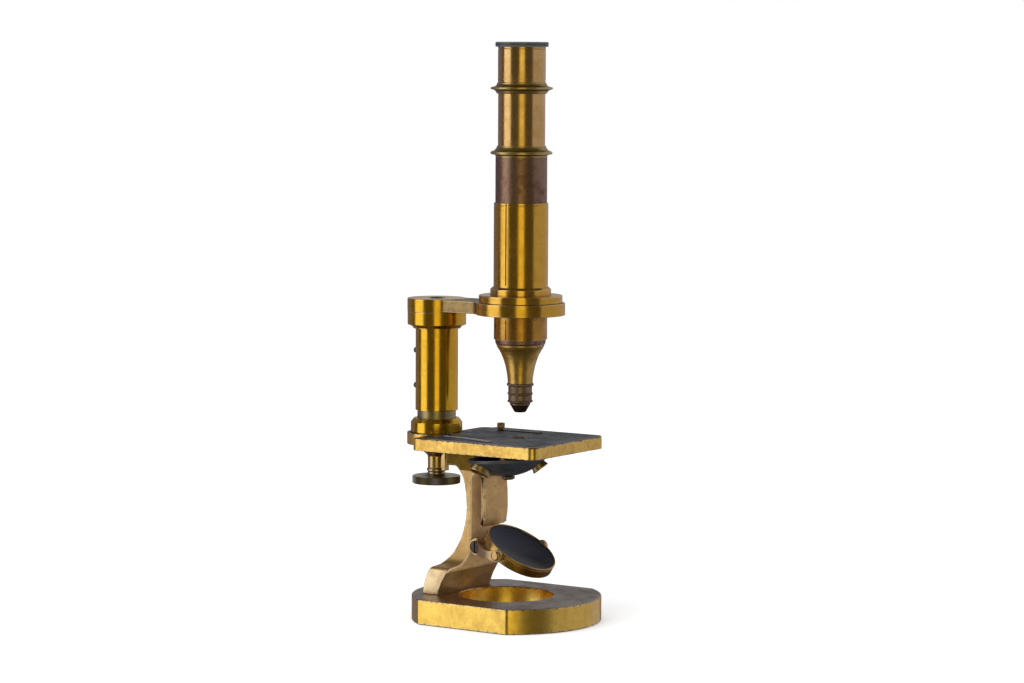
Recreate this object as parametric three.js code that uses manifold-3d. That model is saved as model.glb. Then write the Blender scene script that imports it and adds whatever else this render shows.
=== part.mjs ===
// Antique brass compound microscope, all dimensions in millimetres.
// +Z is up, the front of the instrument faces -Y, the origin is the bottom centre of the box.
// Inside the shifted group the axes are measured from the centre of the base hole.
import * as THREE from 'three';
import { mergeVertices } from 'three/addons/utils/BufferGeometryUtils.js';
import Module from 'manifold-3d';

const wasm = await Module();
wasm.setup();

// ---- driving dimensions -------------------------------------------------------------
const SEG = { large: 48, medium: 32, small: 16, tiny: 12 };
const GAP = { slide: 0.15, seat: 0.3, bore: 0.1 };
const AXIS = { opticalY: -7.5, columnY: 43.0 };
const SHIFT_Y = -5.2;

const BASE = { radius: 47.5, flat: 40.0, height: 12.3, hole: 23.7, edge: 0.5 };
const FOOT = { halfWidth: 23.5, height: 14.0, shoulder: 2.5, sweepX: 16.5, sweep: 6.0 };
const LIMB = {
  waist: 10.5,
  // side outline from the heel up the front edge, [y, z] pairs
  front: [[25.8, 12.3], [24.3, 16.6], [22.6, 19.8], [20.9, 22.6], [17.2, 29.5], [13.0, 37.3],
    [9.4, 44.0], [7.1, 48.6], [6.4, 52.0], [6.2, 56.0], [6.3, 62.0], [6.6, 67.0], [7.0, 71.2],
    [9.0, 73.2], [12.6, 75.0], [12.6, 85.2]],
  // and back down the rear edge
  rear: [[30.0, 85.2], [30.0, 76.2], [24.2, 76.2], [22.7, 75.0], [21.1, 73.0], [19.7, 70.4],
    [18.6, 66.7], [17.8, 61.0], [17.5, 55.7], [18.0, 49.5], [19.2, 44.5], [20.6, 40.5],
    [22.4, 37.0], [24.6, 33.5], [27.2, 30.3], [30.0, 27.0], [31.8, 24.2], [33.3, 20.0],
    [34.5, 16.5], [35.1, 12.3]],
  slotFront: 8.6, slotRear: 14.6, slotBottom: 29.6, slotTop: 73.0, slotRound: 3.0,
};
const FOOT_SCREW = { x: 16.0, y: 29.6, headR: 3.6, headH: 2.4, shankR: 1.8, depth: 7.0 };
const STAGE = {
  halfX: 32.2, front: -37.2, rear: 36.4, bottom: 85.2, top: 91.2, corner: 4.0,
  tongueR: 14.9, holeR: 5.2, spindleBore: 2.7,
};
const COVER = { inset: 0.35, top: 91.7, rear: 28.4, holeR: 5.6 };
const CLIP = {
  thick: 0.45, lift: 0.12, halfW: 2.0, tipHalfW: 1.5, boreR: 1.25, shankR: 1.0,
  left: { rootX: -18.0, rootY: 24.0, tipX: -26.0, tipY: -7.5, headR: 2.3, headH: 1.1 },
  right: { rootX: 20.5, rootY: 17.5, tipX: 21.0, tipY: -7.0, headR: 2.0, headH: 3.3 },
};
const HEAD_SCREW = { x: 5.2, y: 27.6, headR: 1.9, headH: 0.6, shankR: 1.1, depth: 3.6 };
const PILLAR = {
  radius: 9.75, bottom: 91.2, shelf: 95.2, top: 140.0, boreR: 6.0,
  keyHalf: 1.3, keyDepth: 2.2, keyBottom: 108.0, keyTop: 139.0,
};
const COLLAR = { radius: 13.05, bottom: 91.2, chamferZ: 96.4, topR: 11.4, top: 98.5 };
const COLUMN = { radius: 10.7, bore: 10.05, bottom: 102.4, top: 143.8 };
const FLANGE = {
  neckR: 12.0, neckTopR: 13.4, neckTop: 145.5, radius: 14.8, top: 152.5, edge: 0.5,
  nutR: 5.4, nutBottom: 132.0, threadR: 2.5, threadTop: 141.0,
};
const GUIDE_SCREW = { headR: 1.4, reach: 3.1, shankR: 0.8, holeR: 1.0, upperZ: 132.0, lowerZ: 114.2 };
const ARM = {
  boss: 14.9, bossBottom: 152.5, bossTop: 159.1, halfBar: 10.5, bottom: 152.8, top: 159.0,
  ring: 22.1, bore: 13.65, socketR: 4.3, socketDepth: 1.0,
};
const ARM_SCREW = { headR: 4.0, headH: 1.3, shankR: 1.9, depth: 4.5, slotHalf: 0.45, slotDepth: 0.7 };
const RING = { radius: 20.75, top: 162.8, edge: 0.5 };
const SMALL_RING = { radius: 15.1, top: 166.8, round: 1.4 };
const SLEEVE = {
  upperR: 13.5, lowerR: 13.25, bore: 12.95, bottom: 140.9, step: 152.0, top: 208.4,
  slitHalf: 0.35, upperSlit: 168.0, lowerSlit: 151.0,
};
const BODY = { radius: 12.8, bore: 12.1, bottom: 140.7, top: 231.0 };
const BODY_FLANGE = { step: 232.4, rim: 15.3, rimTop: 233.5, topR: 12.1, top: 236.5, bore: 11.8 };
const NOSE_RING = { topR: 12.7, bottomR: 12.0, bottom: 138.2, bore: 10.5 };
const CONE = {
  outer: [[12.0, 138.2], [11.4, 136.5], [10.6, 135.5], [9.5, 133.4], [8.6, 131.5], [7.9, 129.2],
    [7.3, 127.0], [6.8, 124.6], [6.5, 122.6], [6.3, 120.4], [6.2, 118.8]],
  wall: 1.5,
};
const OBJECTIVE = {
  top: 118.8, rimR: 6.7, rimH: 1.1, barrelR: 5.95, split1: 114.1, midRimR: 6.3, midRimH: 0.7,
  midBarrelR: 5.9, split2: 110.3, lowRimH: 0.8, lowTopZ: 108.0, lowR: 5.0, tipR: 2.9,
  tipZ: 104.7, tip: 104.4, bore1: 4.3, bore2: 4.0, bore3: 3.0, tipBore: 1.4, seatZ: 106.2,
};
const LENS = {
  upper: { r: 4.1, z: 115.2, h: 1.6, sag: 0.6 },
  middle: { r: 3.8, z: 111.4, h: 1.5, sag: 0.5 },
  front: { r: 2.8, z: 106.4, h: 1.4, sag: 0.5 },
  field: { r: 10.1, z: 228.6, h: 3.8, sag: 1.5 },
  eye: { r: 6.9, z: 279.4, h: 3.2, sag: 1.2 },
};
const DRAW = { radius: 11.65, bore: 11.05, bottom: 175.0, top: 262.1 };
const DRAW_FLANGE = { rim: 15.4, rimBottom: 264.7, rimTop: 265.0, bottomR: 12.6, topR: 12.2, top: 267.5 };
const EYE_TUBE = { radius: 10.9, bore: 10.3, bottom: 226.0, top: 267.5 };
const EYE_BARREL = { radius: 11.8, bore: 11.0, bottom: 267.5, top: 285.1 };
const EYE_CAP = {
  radius: 13.1, top: 287.5, hole: 3.2, edge: 0.35,
  skirtR: 10.7, skirtBottom: 278.0, seatR: 7.2,
};
const FIELD_STOP = { radius: 10.1, hole: 6.0, bottom: 254.0, top: 255.0 };
const HOUSING = {
  profile: [[9.5, 85.2], [8.6, 83.2], [7.2, 81.6], [6.4, 80.8], [5.2, 80.0], [4.5, 79.2], [4.4, 77.0],
    [4.4, 72.6], [4.8, 72.2], [4.8, 71.4]],
  bore: 2.6, ribHalf: 1.85, ribFront: 36.4, ribRear: 39.2, ribBottom: 71.8,
};
const SPINDLE = { radius: 2.2, bottom: 69.2, top: 138.0 };
const KNOB = {
  radius: 12.2, bottom: 65.2, top: 69.0, edge: 0.6,
  hubR: 4.5, hubTop: 71.0, bossR: 7.0, bossTop: 69.8,
};
const SPRING = { coilR: 4.2, wireR: 0.45, bottom: 96.0, top: 131.2, turns: 8, steps: 10 };
const MIRROR = {
  y: -9.0, z: 37.0, lean: 0.5585, outerR: 18.9, thick: 5.9, pivotDrop: 2.6, round: 0.9, lip: 0.9,
  lipDepth: 1.4, glassGap: 0.2, glassSag: 1.5, glassTop: 0.5,
};
const FORK = {
  y: 9.6, z: 36.8, bossR: 4.4, halfH: 2.2, gapX: 10.9, thick: 1.9, pivotX: 21.4, eyeR: 3.1,
  holeR: 1.2, reach: 12.0, rootY: 8.3, waistBack: 6.4, waistTop: 2.9, waistLow: 3.9,
  heelBack: 0.5, heelLow: 2.4, inner: 8.0, outer: 24.0,
};
const BLOCK = { halfX: 10.2, front: 7.4, rear: 14.4, bottom: 34.2, top: 39.2, bore: 1.7 };
const SHAFT = { radius: 1.6, halfX: 10.8, thread: 5.4 };
const FORK_SCREW = { headR: 3.25, headH: 1.8, shankR: 0.95, slotHalf: 0.4, slotDepth: 0.6 };
const PIVOT_SCREW = { headR: 2.4, headH: 1.0, shankR: 1.2, inner: 17.9 };
const DIAPHRAGM = {
  x: -14.4, y: -9.6, rimZ: 82.9, leanX: 0.0, leanY: 0.075, rimR: 19.2, depth: 7.9, thick: 1.0,
  holeRing: 14.8, hubBore: 2.0, lipH: 0.4, steps: 5, collarWall: 0.9, collarOut: 2.6,
  collarRoot: 0.2,
  // hole radii at equal angles from the optical axis round; 0 is a closed place
  holes: [2.4, 1.4, 4.6, 0, 3.4],
};
const DIA_SCREW = { headR: 3.3, headH: 1.6, shankR: 1.6, post: 4.0, postGap: 0.35 };

// ---- colours ------------------------------------------------------------------------
const TONE = {
  gold: [0xc79a3c, 0.3, 1.0], bright: [0xe6bd58, 0.28, 1.0], tan: [0xb08a52, 0.45, 0.9],
  olive: [0x8f7426, 0.34, 1.0], patina: [0x6e4b41, 0.5, 0.7], dark: [0x3c3e42, 0.55, 0.5],
  brown: [0x8c6e50, 0.45, 0.9], steel: [0x4b463c, 0.45, 0.8], glass: [0xdfe8ec, 0.05, 0.0],
  mirror: [0x23252d, 0.1, 0.6], spring: [0x777777, 0.35, 1.0],
};

// ---- helpers ------------------------------------------------------------------------
function tidy(geometry) {
  const g = geometry.clone();
  g.deleteAttribute('normal');
  g.deleteAttribute('uv');
  return mergeVertices(g, 1e-4);
}

function signedVolume(position, index) {
  let sum = 0;
  const a = new THREE.Vector3();
  const b = new THREE.Vector3();
  const c = new THREE.Vector3();
  for (let i = 0; i < index.length; i += 3) {
    a.fromBufferAttribute(position, index[i]);
    b.fromBufferAttribute(position, index[i + 1]);
    c.fromBufferAttribute(position, index[i + 2]);
    sum += a.dot(b.cross(c));
  }
  return sum;
}

function solid(geometry) {
  const g = tidy(geometry);
  const source = Array.from(g.index.array);
  const kept = [];
  for (let i = 0; i < source.length; i += 3) {
    const [a, b, c] = source.slice(i, i + 3);
    if (a !== b && b !== c && a !== c) kept.push(a, b, c);
  }
  if (signedVolume(g.attributes.position, kept) < 0) {
    for (let i = 0; i < kept.length; i += 3) {
      const hold = kept[i + 1];
      kept[i + 1] = kept[i + 2];
      kept[i + 2] = hold;
    }
  }
  return new wasm.Manifold(new wasm.Mesh({
    numProp: 3,
    vertProperties: new Float32Array(g.attributes.position.array),
    triVerts: new Uint32Array(kept),
  }));
}

function toGeometry(manifold) {
  const mesh = manifold.getMesh();
  const g = new THREE.BufferGeometry();
  g.setAttribute('position', new THREE.BufferAttribute(new Float32Array(mesh.vertProperties), 3));
  g.setIndex(new THREE.BufferAttribute(new Uint32Array(mesh.triVerts), 1));
  g.computeVertexNormals();
  return g;
}

// revolve a closed [radius, height] outline about the vertical line through (x, y)
function turned(outline, y = 0, segments = SEG.medium, x = 0) {
  const points = outline.map(([r, z]) => new THREE.Vector2(r, z));
  const first = points[0];
  const last = points[points.length - 1];
  if (!(first.x === 0 && last.x === 0)) points.push(first.clone());
  const g = new THREE.LatheGeometry(points, segments);
  g.rotateX(Math.PI / 2);
  g.translate(x, y, 0);
  return solid(g);
}

const disc = (r, z0, z1, y = 0, segments = SEG.medium, x = 0) => turned(
  [[0, z0], [r, z0], [r, z1], [0, z1]], y, segments, x);

const ringOf = (rOut, rIn, z0, z1, y = 0, segments = SEG.medium, x = 0) => turned(
  [[rIn, z0], [rOut, z0], [rOut, z1], [rIn, z1]], y, segments, x);

function box(x0, x1, y0, y1, z0, z1) {
  const g = new THREE.BoxGeometry(x1 - x0, y1 - y0, z1 - z0);
  g.translate((x0 + x1) / 2, (y0 + y1) / 2, (z0 + z1) / 2);
  return solid(g);
}

// a [y, z] outline pushed out along X
function sideways(outline, x0, x1) {
  const shape = new THREE.Shape(outline.map(([y, z]) => new THREE.Vector2(y, z)));
  const g = new THREE.ExtrudeGeometry(shape, { depth: x1 - x0, bevelEnabled: false, steps: 1 });
  g.applyMatrix4(new THREE.Matrix4().set(0, 0, 1, x0, 1, 0, 0, 0, 0, 1, 0, 0, 0, 0, 0, 1));
  return solid(g);
}

// an [x, z] outline pushed out along Y
function frontways(outline, y0, y1) {
  const shape = new THREE.Shape(outline.map(([x, z]) => new THREE.Vector2(x, z)));
  const g = new THREE.ExtrudeGeometry(shape, { depth: y1 - y0, bevelEnabled: false, steps: 1 });
  g.applyMatrix4(new THREE.Matrix4().set(1, 0, 0, 0, 0, 0, -1, y1, 0, 1, 0, 0, 0, 0, 0, 1));
  return solid(g);
}

// an [x, y] outline pushed up along Z
function upward(points, z0, z1) {
  const shape = new THREE.Shape(points.map(([x, y]) => new THREE.Vector2(x, y)));
  const g = new THREE.ExtrudeGeometry(shape, { depth: z1 - z0, bevelEnabled: false, steps: 1 });
  g.translate(0, 0, z0);
  return solid(g);
}

function roundedRect(x0, x1, y0, y1, r, steps = 5) {
  const out = [];
  const corners = [[x1 - r, y1 - r, 0], [x0 + r, y1 - r, 1], [x0 + r, y0 + r, 2], [x1 - r, y0 + r, 3]];
  for (const [cx, cy, quarter] of corners) {
    for (let i = 0; i <= steps; i += 1) {
      const a = (quarter + i / steps) * Math.PI / 2;
      out.push([cx + r * Math.cos(a), cy + r * Math.sin(a)]);
    }
  }
  return out;
}

// a cylinder along X
function cross(r, x0, x1, y, z, segments = SEG.small) {
  const g = new THREE.CylinderGeometry(r, r, x1 - x0, segments);
  g.rotateZ(Math.PI / 2);
  g.translate((x0 + x1) / 2, y, z);
  return solid(g);
}

// a cylinder along Y
function along(r, y0, y1, x, z, segments = SEG.tiny) {
  const g = new THREE.CylinderGeometry(r, r, y1 - y0, segments);
  g.translate(x, (y0 + y1) / 2, z);
  return solid(g);
}

function placed(manifold, matrix) {
  const g = toGeometry(manifold);
  g.applyMatrix4(matrix);
  return solid(g);
}

// a biconvex lens standing on height z
function lens({ r, z, h, sag }, y) {
  const mid = z + h / 2;
  const half = h / 2 - sag;
  const rows = [0, 0.6, 1];
  const drop = (t) => half + sag * (1 - t * t);
  const lower = rows.map((t) => [r * t, mid - drop(t)]);
  const upper = rows.map((t) => [r * t, mid + drop(t)]).reverse();
  return turned([...lower, ...upper], y, SEG.small);
}

const group = new THREE.Group();
group.name = 'microscope';
const frame = new THREE.Group();
frame.name = 'instrument';
frame.position.y = SHIFT_Y;
group.add(frame);

function add(name, manifold, tone) {
  const [colour, roughness, metalness] = tone;
  const material = new THREE.MeshStandardMaterial({ color: colour, roughness, metalness });
  material.name = name + '_finish';
  const mesh = new THREE.Mesh(toGeometry(manifold), material);
  mesh.name = name;
  frame.add(mesh);
}

const OY = AXIS.opticalY;
const CY = AXIS.columnY;

// ---- base ---------------------------------------------------------------------------
{
  const e = BASE.edge;
  const ring = turned([
    [BASE.hole + e, 0], [BASE.radius - e, 0], [BASE.radius, e], [BASE.radius, BASE.height - e],
    [BASE.radius - e, BASE.height], [BASE.hole + e, BASE.height], [BASE.hole, BASE.height - e],
    [BASE.hole, e]], 0, SEG.large);
  const slab = box(-BASE.flat, BASE.flat, -BASE.radius, BASE.radius, -1, BASE.height + 1);
  let plate = ring.intersect(slab);
  for (const side of [-1, 1]) {
    const x = side * FOOT_SCREW.x;
    const head = disc(FOOT_SCREW.headR + GAP.seat, -1, FOOT_SCREW.headH + GAP.seat, FOOT_SCREW.y,
      SEG.small, x);
    const hole = disc(FOOT_SCREW.shankR + GAP.seat, -1, BASE.height + 1, FOOT_SCREW.y, SEG.small, x);
    plate = plate.subtract(head).subtract(hole);
  }
  add('base_plate', plate, TONE.bright);
}

// ---- limb ---------------------------------------------------------------------------
{
  const top = BASE.height + FOOT.height;
  const faceOn = [];
  const f = FOOT;
  const s = f.shoulder;
  const right = [[f.halfWidth, BASE.height], [f.halfWidth, top - s]];
  for (const a of [30, 60, 90]) {
    const t = a * Math.PI / 180;
    right.push([f.halfWidth - s + s * Math.cos(t), top - s + s * Math.sin(t)]);
  }
  for (const a of [0, 18, 36, 54, 72, 90]) {
    const t = a * Math.PI / 180;
    right.push([f.sweepX - f.sweep * Math.sin(t), top + 0.4 + f.sweep - f.sweep * Math.cos(t)]);
  }
  right.push([LIMB.waist, STAGE.bottom]);
  for (const [x, z] of right) faceOn.push([x, z]);
  for (const [x, z] of [...right].reverse()) faceOn.push([-x, z]);
  const side = sideways([...LIMB.front, ...LIMB.rear], -f.halfWidth - 1, f.halfWidth + 1);
  const front = frontways(faceOn, 0, BASE.radius);
  const r = LIMB.slotRound;
  const slot = roundedRect(LIMB.slotFront, LIMB.slotRear, LIMB.slotBottom, LIMB.slotTop, r);
  let limb = side.intersect(front).subtract(sideways(slot, -LIMB.waist - 9, LIMB.waist + 9));
  for (const sx of [-1, 1]) {
    limb = limb.subtract(disc(FOOT_SCREW.shankR + GAP.bore, BASE.height - 1,
      BASE.height + FOOT_SCREW.depth + GAP.seat, FOOT_SCREW.y, SEG.tiny, sx * FOOT_SCREW.x));
    limb = limb.subtract(disc(HEAD_SCREW.shankR + GAP.bore, STAGE.bottom - HEAD_SCREW.depth - GAP.seat,
      STAGE.bottom + 1, HEAD_SCREW.y, SEG.tiny, sx * HEAD_SCREW.x));
  }
  add('limb', limb, TONE.tan);
  for (const [word, sx] of [['left', -1], ['right', 1]]) {
    const z1 = BASE.height + FOOT_SCREW.depth;
    const screw = turned([[0, 0.2], [FOOT_SCREW.headR, 0.2], [FOOT_SCREW.headR, FOOT_SCREW.headH],
      [FOOT_SCREW.shankR, FOOT_SCREW.headH], [FOOT_SCREW.shankR, z1], [0, z1]], FOOT_SCREW.y,
    SEG.tiny, sx * FOOT_SCREW.x);
    const kerf = box(sx * FOOT_SCREW.x - FOOT_SCREW.headR - 1, sx * FOOT_SCREW.x + FOOT_SCREW.headR + 1,
      FOOT_SCREW.y - 0.5, FOOT_SCREW.y + 0.5, -1, 1.0);
    add('foot_screw_' + word, screw.subtract(kerf), TONE.steel);
  }
}

// ---- stage --------------------------------------------------------------------------
{
  const plate = upward(roundedRect(-STAGE.halfX, STAGE.halfX, STAGE.front, STAGE.rear, STAGE.corner),
    STAGE.bottom, STAGE.top);
  let stage = plate.add(disc(STAGE.tongueR, STAGE.bottom, STAGE.top, CY, SEG.large));
  stage = stage.subtract(disc(STAGE.holeR, STAGE.bottom - 1, STAGE.top + 1, OY, SEG.small));
  stage = stage.subtract(disc(STAGE.spindleBore, STAGE.bottom - 1, STAGE.top + 1, CY, SEG.small));
  const i = COVER.inset;
  let cover = upward(roundedRect(-STAGE.halfX + i, STAGE.halfX - i, STAGE.front + i, COVER.rear,
    STAGE.corner - i), STAGE.top, COVER.top);
  cover = cover.subtract(disc(COVER.holeR, STAGE.top - 1, COVER.top + 1, OY, SEG.small));
  for (const sx of [-1, 1]) {
    const x = sx * HEAD_SCREW.x;
    stage = stage.subtract(disc(HEAD_SCREW.shankR + GAP.bore, STAGE.bottom - 1, STAGE.top + 1,
      HEAD_SCREW.y, SEG.tiny, x));
    cover = cover.subtract(disc(HEAD_SCREW.headR + GAP.seat, STAGE.top - 1, COVER.top + 1,
      HEAD_SCREW.y, SEG.tiny, x));
  }
  for (const side of [CLIP.left, CLIP.right]) {
    stage = stage.subtract(disc(CLIP.boreR, STAGE.top - 3.4, STAGE.top + 1, side.rootY, SEG.tiny,
      side.rootX));
    cover = cover.subtract(disc(CLIP.boreR, STAGE.top - 1, COVER.top + 1, side.rootY, SEG.tiny,
      side.rootX));
  }
  add('stage_plate', stage, TONE.bright);
  add('stage_cover', cover, TONE.dark);
  for (const [word, sx] of [['left', -1], ['right', 1]]) {
    const x = sx * HEAD_SCREW.x;
    const z0 = STAGE.bottom - HEAD_SCREW.depth;
    const zh = STAGE.top + HEAD_SCREW.headH;
    const screw = turned([[0, z0], [HEAD_SCREW.shankR, z0], [HEAD_SCREW.shankR, STAGE.top],
      [HEAD_SCREW.headR, STAGE.top], [HEAD_SCREW.headR, zh], [0, zh]], HEAD_SCREW.y, SEG.tiny, x);
    const kerf = box(x - 3, x + 3, HEAD_SCREW.y - 0.3, HEAD_SCREW.y + 0.3, zh - 0.3, zh + 1);
    add('head_screw_' + word, screw.subtract(kerf), TONE.steel);
  }
}

// ---- stage clips --------------------------------------------------------------------
for (const [word, c, knurl] of [['left', CLIP.left, false], ['right', CLIP.right, true]]) {
  const z0 = COVER.top + CLIP.lift;
  const z1 = z0 + CLIP.thick;
  const dx = c.tipX - c.rootX;
  const dy = c.tipY - c.rootY;
  const length = Math.hypot(dx, dy);
  const ux = dx / length;
  const uy = dy / length;
  const at = (s, w) => [c.rootX + ux * s - uy * w, c.rootY + uy * s + ux * w];
  const outline = [];
  for (const a of [90, 120, 150, 180, 210, 240, 270]) {
    const t = a * Math.PI / 180;
    outline.push(at(CLIP.halfW * Math.cos(t), CLIP.halfW * Math.sin(t)));
  }
  outline.push(at(length - CLIP.tipHalfW, -CLIP.tipHalfW));
  for (const a of [-60, -30, 0, 30, 60]) {
    const t = a * Math.PI / 180;
    outline.push(at(length - CLIP.tipHalfW + CLIP.tipHalfW * Math.cos(t), CLIP.tipHalfW * Math.sin(t)));
  }
  outline.push(at(length - CLIP.tipHalfW, CLIP.tipHalfW));
  const blade = upward(outline, z0, z1).subtract(disc(CLIP.boreR, z0 - 1, z1 + 1, c.rootY, SEG.tiny,
    c.rootX));
  add('clip_blade_' + word, blade, TONE.steel);
  const zh = z1 + c.headH;
  const zb = STAGE.top - 3.0;
  let button = turned([[0, zb], [CLIP.shankR, zb], [CLIP.shankR, z1 + 0.05], [c.headR, z1 + 0.05],
    [c.headR, zh - 0.3], [c.headR - 0.3, zh], [0, zh]], c.rootY, SEG.tiny, c.rootX);
  if (!knurl) {
    button = button.subtract(box(c.rootX - 4, c.rootX + 4, c.rootY - 0.3, c.rootY + 0.3, zh - 0.4, zh + 1));
  }
  add('clip_screw_' + word, button, knurl ? TONE.gold : TONE.steel);
}

// ---- pillar, collar and column ------------------------------------------------------
{
  let pillar = turned([
    [STAGE.spindleBore, PILLAR.bottom], [PILLAR.radius, PILLAR.bottom], [PILLAR.radius, PILLAR.top],
    [PILLAR.boreR, PILLAR.top], [PILLAR.boreR, PILLAR.shelf], [STAGE.spindleBore, PILLAR.shelf]], CY);
  pillar = pillar.subtract(box(-PILLAR.keyHalf, PILLAR.keyHalf, CY + PILLAR.radius - PILLAR.keyDepth,
    CY + PILLAR.radius + 1, PILLAR.keyBottom, PILLAR.keyTop));
  add('pillar', pillar, TONE.olive);
  add('pillar_collar', turned([
    [PILLAR.radius + GAP.slide, COLLAR.bottom], [COLLAR.radius, COLLAR.bottom],
    [COLLAR.radius, COLLAR.chamferZ], [COLLAR.topR, COLLAR.top],
    [PILLAR.radius + GAP.slide, COLLAR.top]], CY), TONE.gold);
  let sleeve = ringOf(COLUMN.radius, COLUMN.bore, COLUMN.bottom, COLUMN.top, CY);
  for (const z of [GUIDE_SCREW.upperZ, GUIDE_SCREW.lowerZ]) {
    sleeve = sleeve.subtract(along(GUIDE_SCREW.holeR, CY + COLUMN.bore - 2, CY + COLUMN.radius + 2, 0, z));
  }
  add('column_sleeve', sleeve, TONE.gold);
  for (const [word, z] of [['upper', GUIDE_SCREW.upperZ], ['lower', GUIDE_SCREW.lowerZ]]) {
    const y = CY + COLUMN.radius;
    const shank = along(GUIDE_SCREW.shankR, CY + PILLAR.radius - 1.2, y + 0.5, 0, z);
    const head = along(GUIDE_SCREW.headR, y + 0.05, y + GUIDE_SCREW.reach, 0, z);
    add('guide_screw_' + word, shank.add(head), TONE.steel);
  }
  const e = FLANGE.edge;
  add('column_flange', turned([
    [0, FLANGE.threadTop], [FLANGE.threadR, FLANGE.threadTop], [FLANGE.threadR, FLANGE.nutBottom],
    [FLANGE.nutR, FLANGE.nutBottom], [FLANGE.nutR, COLUMN.top], [FLANGE.neckR, COLUMN.top],
    [FLANGE.neckTopR, FLANGE.neckTop], [FLANGE.radius - e, FLANGE.neckTop],
    [FLANGE.radius, FLANGE.neckTop + e], [FLANGE.radius, FLANGE.top - e],
    [FLANGE.radius - e, FLANGE.top], [0, FLANGE.top]], CY), TONE.gold);
}

// ---- arm ----------------------------------------------------------------------------
{
  const boss = disc(ARM.boss, ARM.bossBottom, ARM.bossTop, CY);
  const bar = box(-ARM.halfBar, ARM.halfBar, OY, CY, ARM.bottom, ARM.top);
  const ring = disc(ARM.ring, ARM.bottom, ARM.top, OY, SEG.large);
  let arm = boss.add(bar).add(ring);
  arm = arm.subtract(disc(ARM.bore, ARM.bottom - 1, ARM.bossTop + 1, OY, SEG.medium));
  arm = arm.subtract(disc(ARM.socketR, ARM.bossTop - ARM.socketDepth, ARM.bossTop + 1, CY, SEG.small));
  arm = arm.subtract(disc(ARM_SCREW.shankR + GAP.bore, ARM.bossTop - ARM_SCREW.depth - GAP.seat,
    ARM.bossTop, CY, SEG.tiny));
  add('arm', arm, TONE.gold);
  const seat = ARM.bossTop - ARM.socketDepth;
  const top = seat + ARM_SCREW.headH;
  const low = ARM.bossTop - ARM_SCREW.depth;
  const screw = turned([[0, low], [ARM_SCREW.shankR, low], [ARM_SCREW.shankR, seat],
    [ARM_SCREW.headR, seat], [ARM_SCREW.headR, top - 0.3], [ARM_SCREW.headR - 0.3, top], [0, top]],
  CY, SEG.small);
  add('arm_screw', screw.subtract(box(-5, 5, CY - ARM_SCREW.slotHalf, CY + ARM_SCREW.slotHalf,
    top - ARM_SCREW.slotDepth, top + 1)), TONE.steel);
  const e = RING.edge;
  add('sleeve_flange', turned([
    [ARM.bore, ARM.top], [RING.radius, ARM.top], [RING.radius, RING.top - e],
    [RING.radius - e, RING.top], [ARM.bore, RING.top]], OY, SEG.medium), TONE.gold);
  const r = SMALL_RING.round;
  add('sleeve_collar', turned([
    [ARM.bore, RING.top], [SMALL_RING.radius, RING.top], [SMALL_RING.radius, SMALL_RING.top - r],
    [SMALL_RING.radius - r * 0.3, SMALL_RING.top - r * 0.3], [SMALL_RING.radius - r, SMALL_RING.top],
    [ARM.bore, SMALL_RING.top]], OY, SEG.medium), TONE.gold);
  let sleeve = turned([
    [SLEEVE.bore, SLEEVE.bottom], [SLEEVE.lowerR, SLEEVE.bottom], [SLEEVE.lowerR, SLEEVE.step],
    [SLEEVE.upperR, SLEEVE.step], [SLEEVE.upperR, SLEEVE.top], [SLEEVE.bore, SLEEVE.top]], OY);
  sleeve = sleeve.subtract(box(-SLEEVE.upperR - 1, -SLEEVE.bore + 2, OY - SLEEVE.slitHalf,
    OY + SLEEVE.slitHalf, SLEEVE.upperSlit, SLEEVE.top + 1));
  sleeve = sleeve.subtract(box(-SLEEVE.upperR - 1, -SLEEVE.bore + 2, OY - SLEEVE.slitHalf,
    OY + SLEEVE.slitHalf, SLEEVE.bottom - 1, SLEEVE.lowerSlit));
  add('tube_sleeve', sleeve, TONE.gold);
}

// ---- body tube, nosepiece and objective ---------------------------------------------
{
  add('body_tube', ringOf(BODY.radius, BODY.bore, BODY.bottom, BODY.top, OY), TONE.patina);
  const b = BODY_FLANGE;
  add('body_tube_flange', turned([
    [b.bore, BODY.top], [BODY.radius, BODY.top], [BODY.radius, b.step], [b.rim, b.step],
    [b.rim, b.rimTop], [b.topR, b.top], [b.bore, b.top]], OY), TONE.olive);
  add('nose_ring', turned([
    [NOSE_RING.bore, NOSE_RING.bottom], [NOSE_RING.bottomR, NOSE_RING.bottom],
    [NOSE_RING.topR, BODY.bottom], [NOSE_RING.bore, BODY.bottom]], OY), TONE.patina);
  const inner = CONE.outer.map(([r, z]) => [r - CONE.wall, z]).reverse();
  add('nose_cone', turned([...CONE.outer, ...inner], OY), TONE.gold);
  const o = OBJECTIVE;
  add('objective_upper', turned([
    [o.bore1, o.top], [o.rimR, o.top], [o.rimR, o.top - o.rimH], [o.barrelR, o.top - o.rimH],
    [o.barrelR, o.split1], [o.bore1, o.split1]], OY, SEG.small), TONE.brown);
  add('objective_middle', turned([
    [o.bore2, o.split1], [o.midRimR, o.split1], [o.midRimR, o.split1 - o.midRimH],
    [o.midBarrelR, o.split1 - o.midRimH], [o.midBarrelR, o.split2], [o.bore2, o.split2]], OY,
  SEG.small), TONE.brown);
  add('objective_lower', turned([
    [o.bore3, o.split2], [o.midRimR, o.split2], [o.midRimR, o.split2 - o.lowRimH],
    [o.lowR, o.split2 - o.lowRimH - 0.4], [o.lowR, o.lowTopZ], [o.tipR, o.tipZ], [o.tipR - 0.3, o.tip],
    [o.tipBore, o.tip], [o.tipBore, o.seatZ], [o.bore3, o.seatZ]], OY, SEG.small), TONE.brown);
  add('lens_objective_upper', lens(LENS.upper, OY), TONE.glass);
  add('lens_objective_middle', lens(LENS.middle, OY), TONE.glass);
  add('lens_objective_front', lens(LENS.front, OY), TONE.glass);
}

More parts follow.
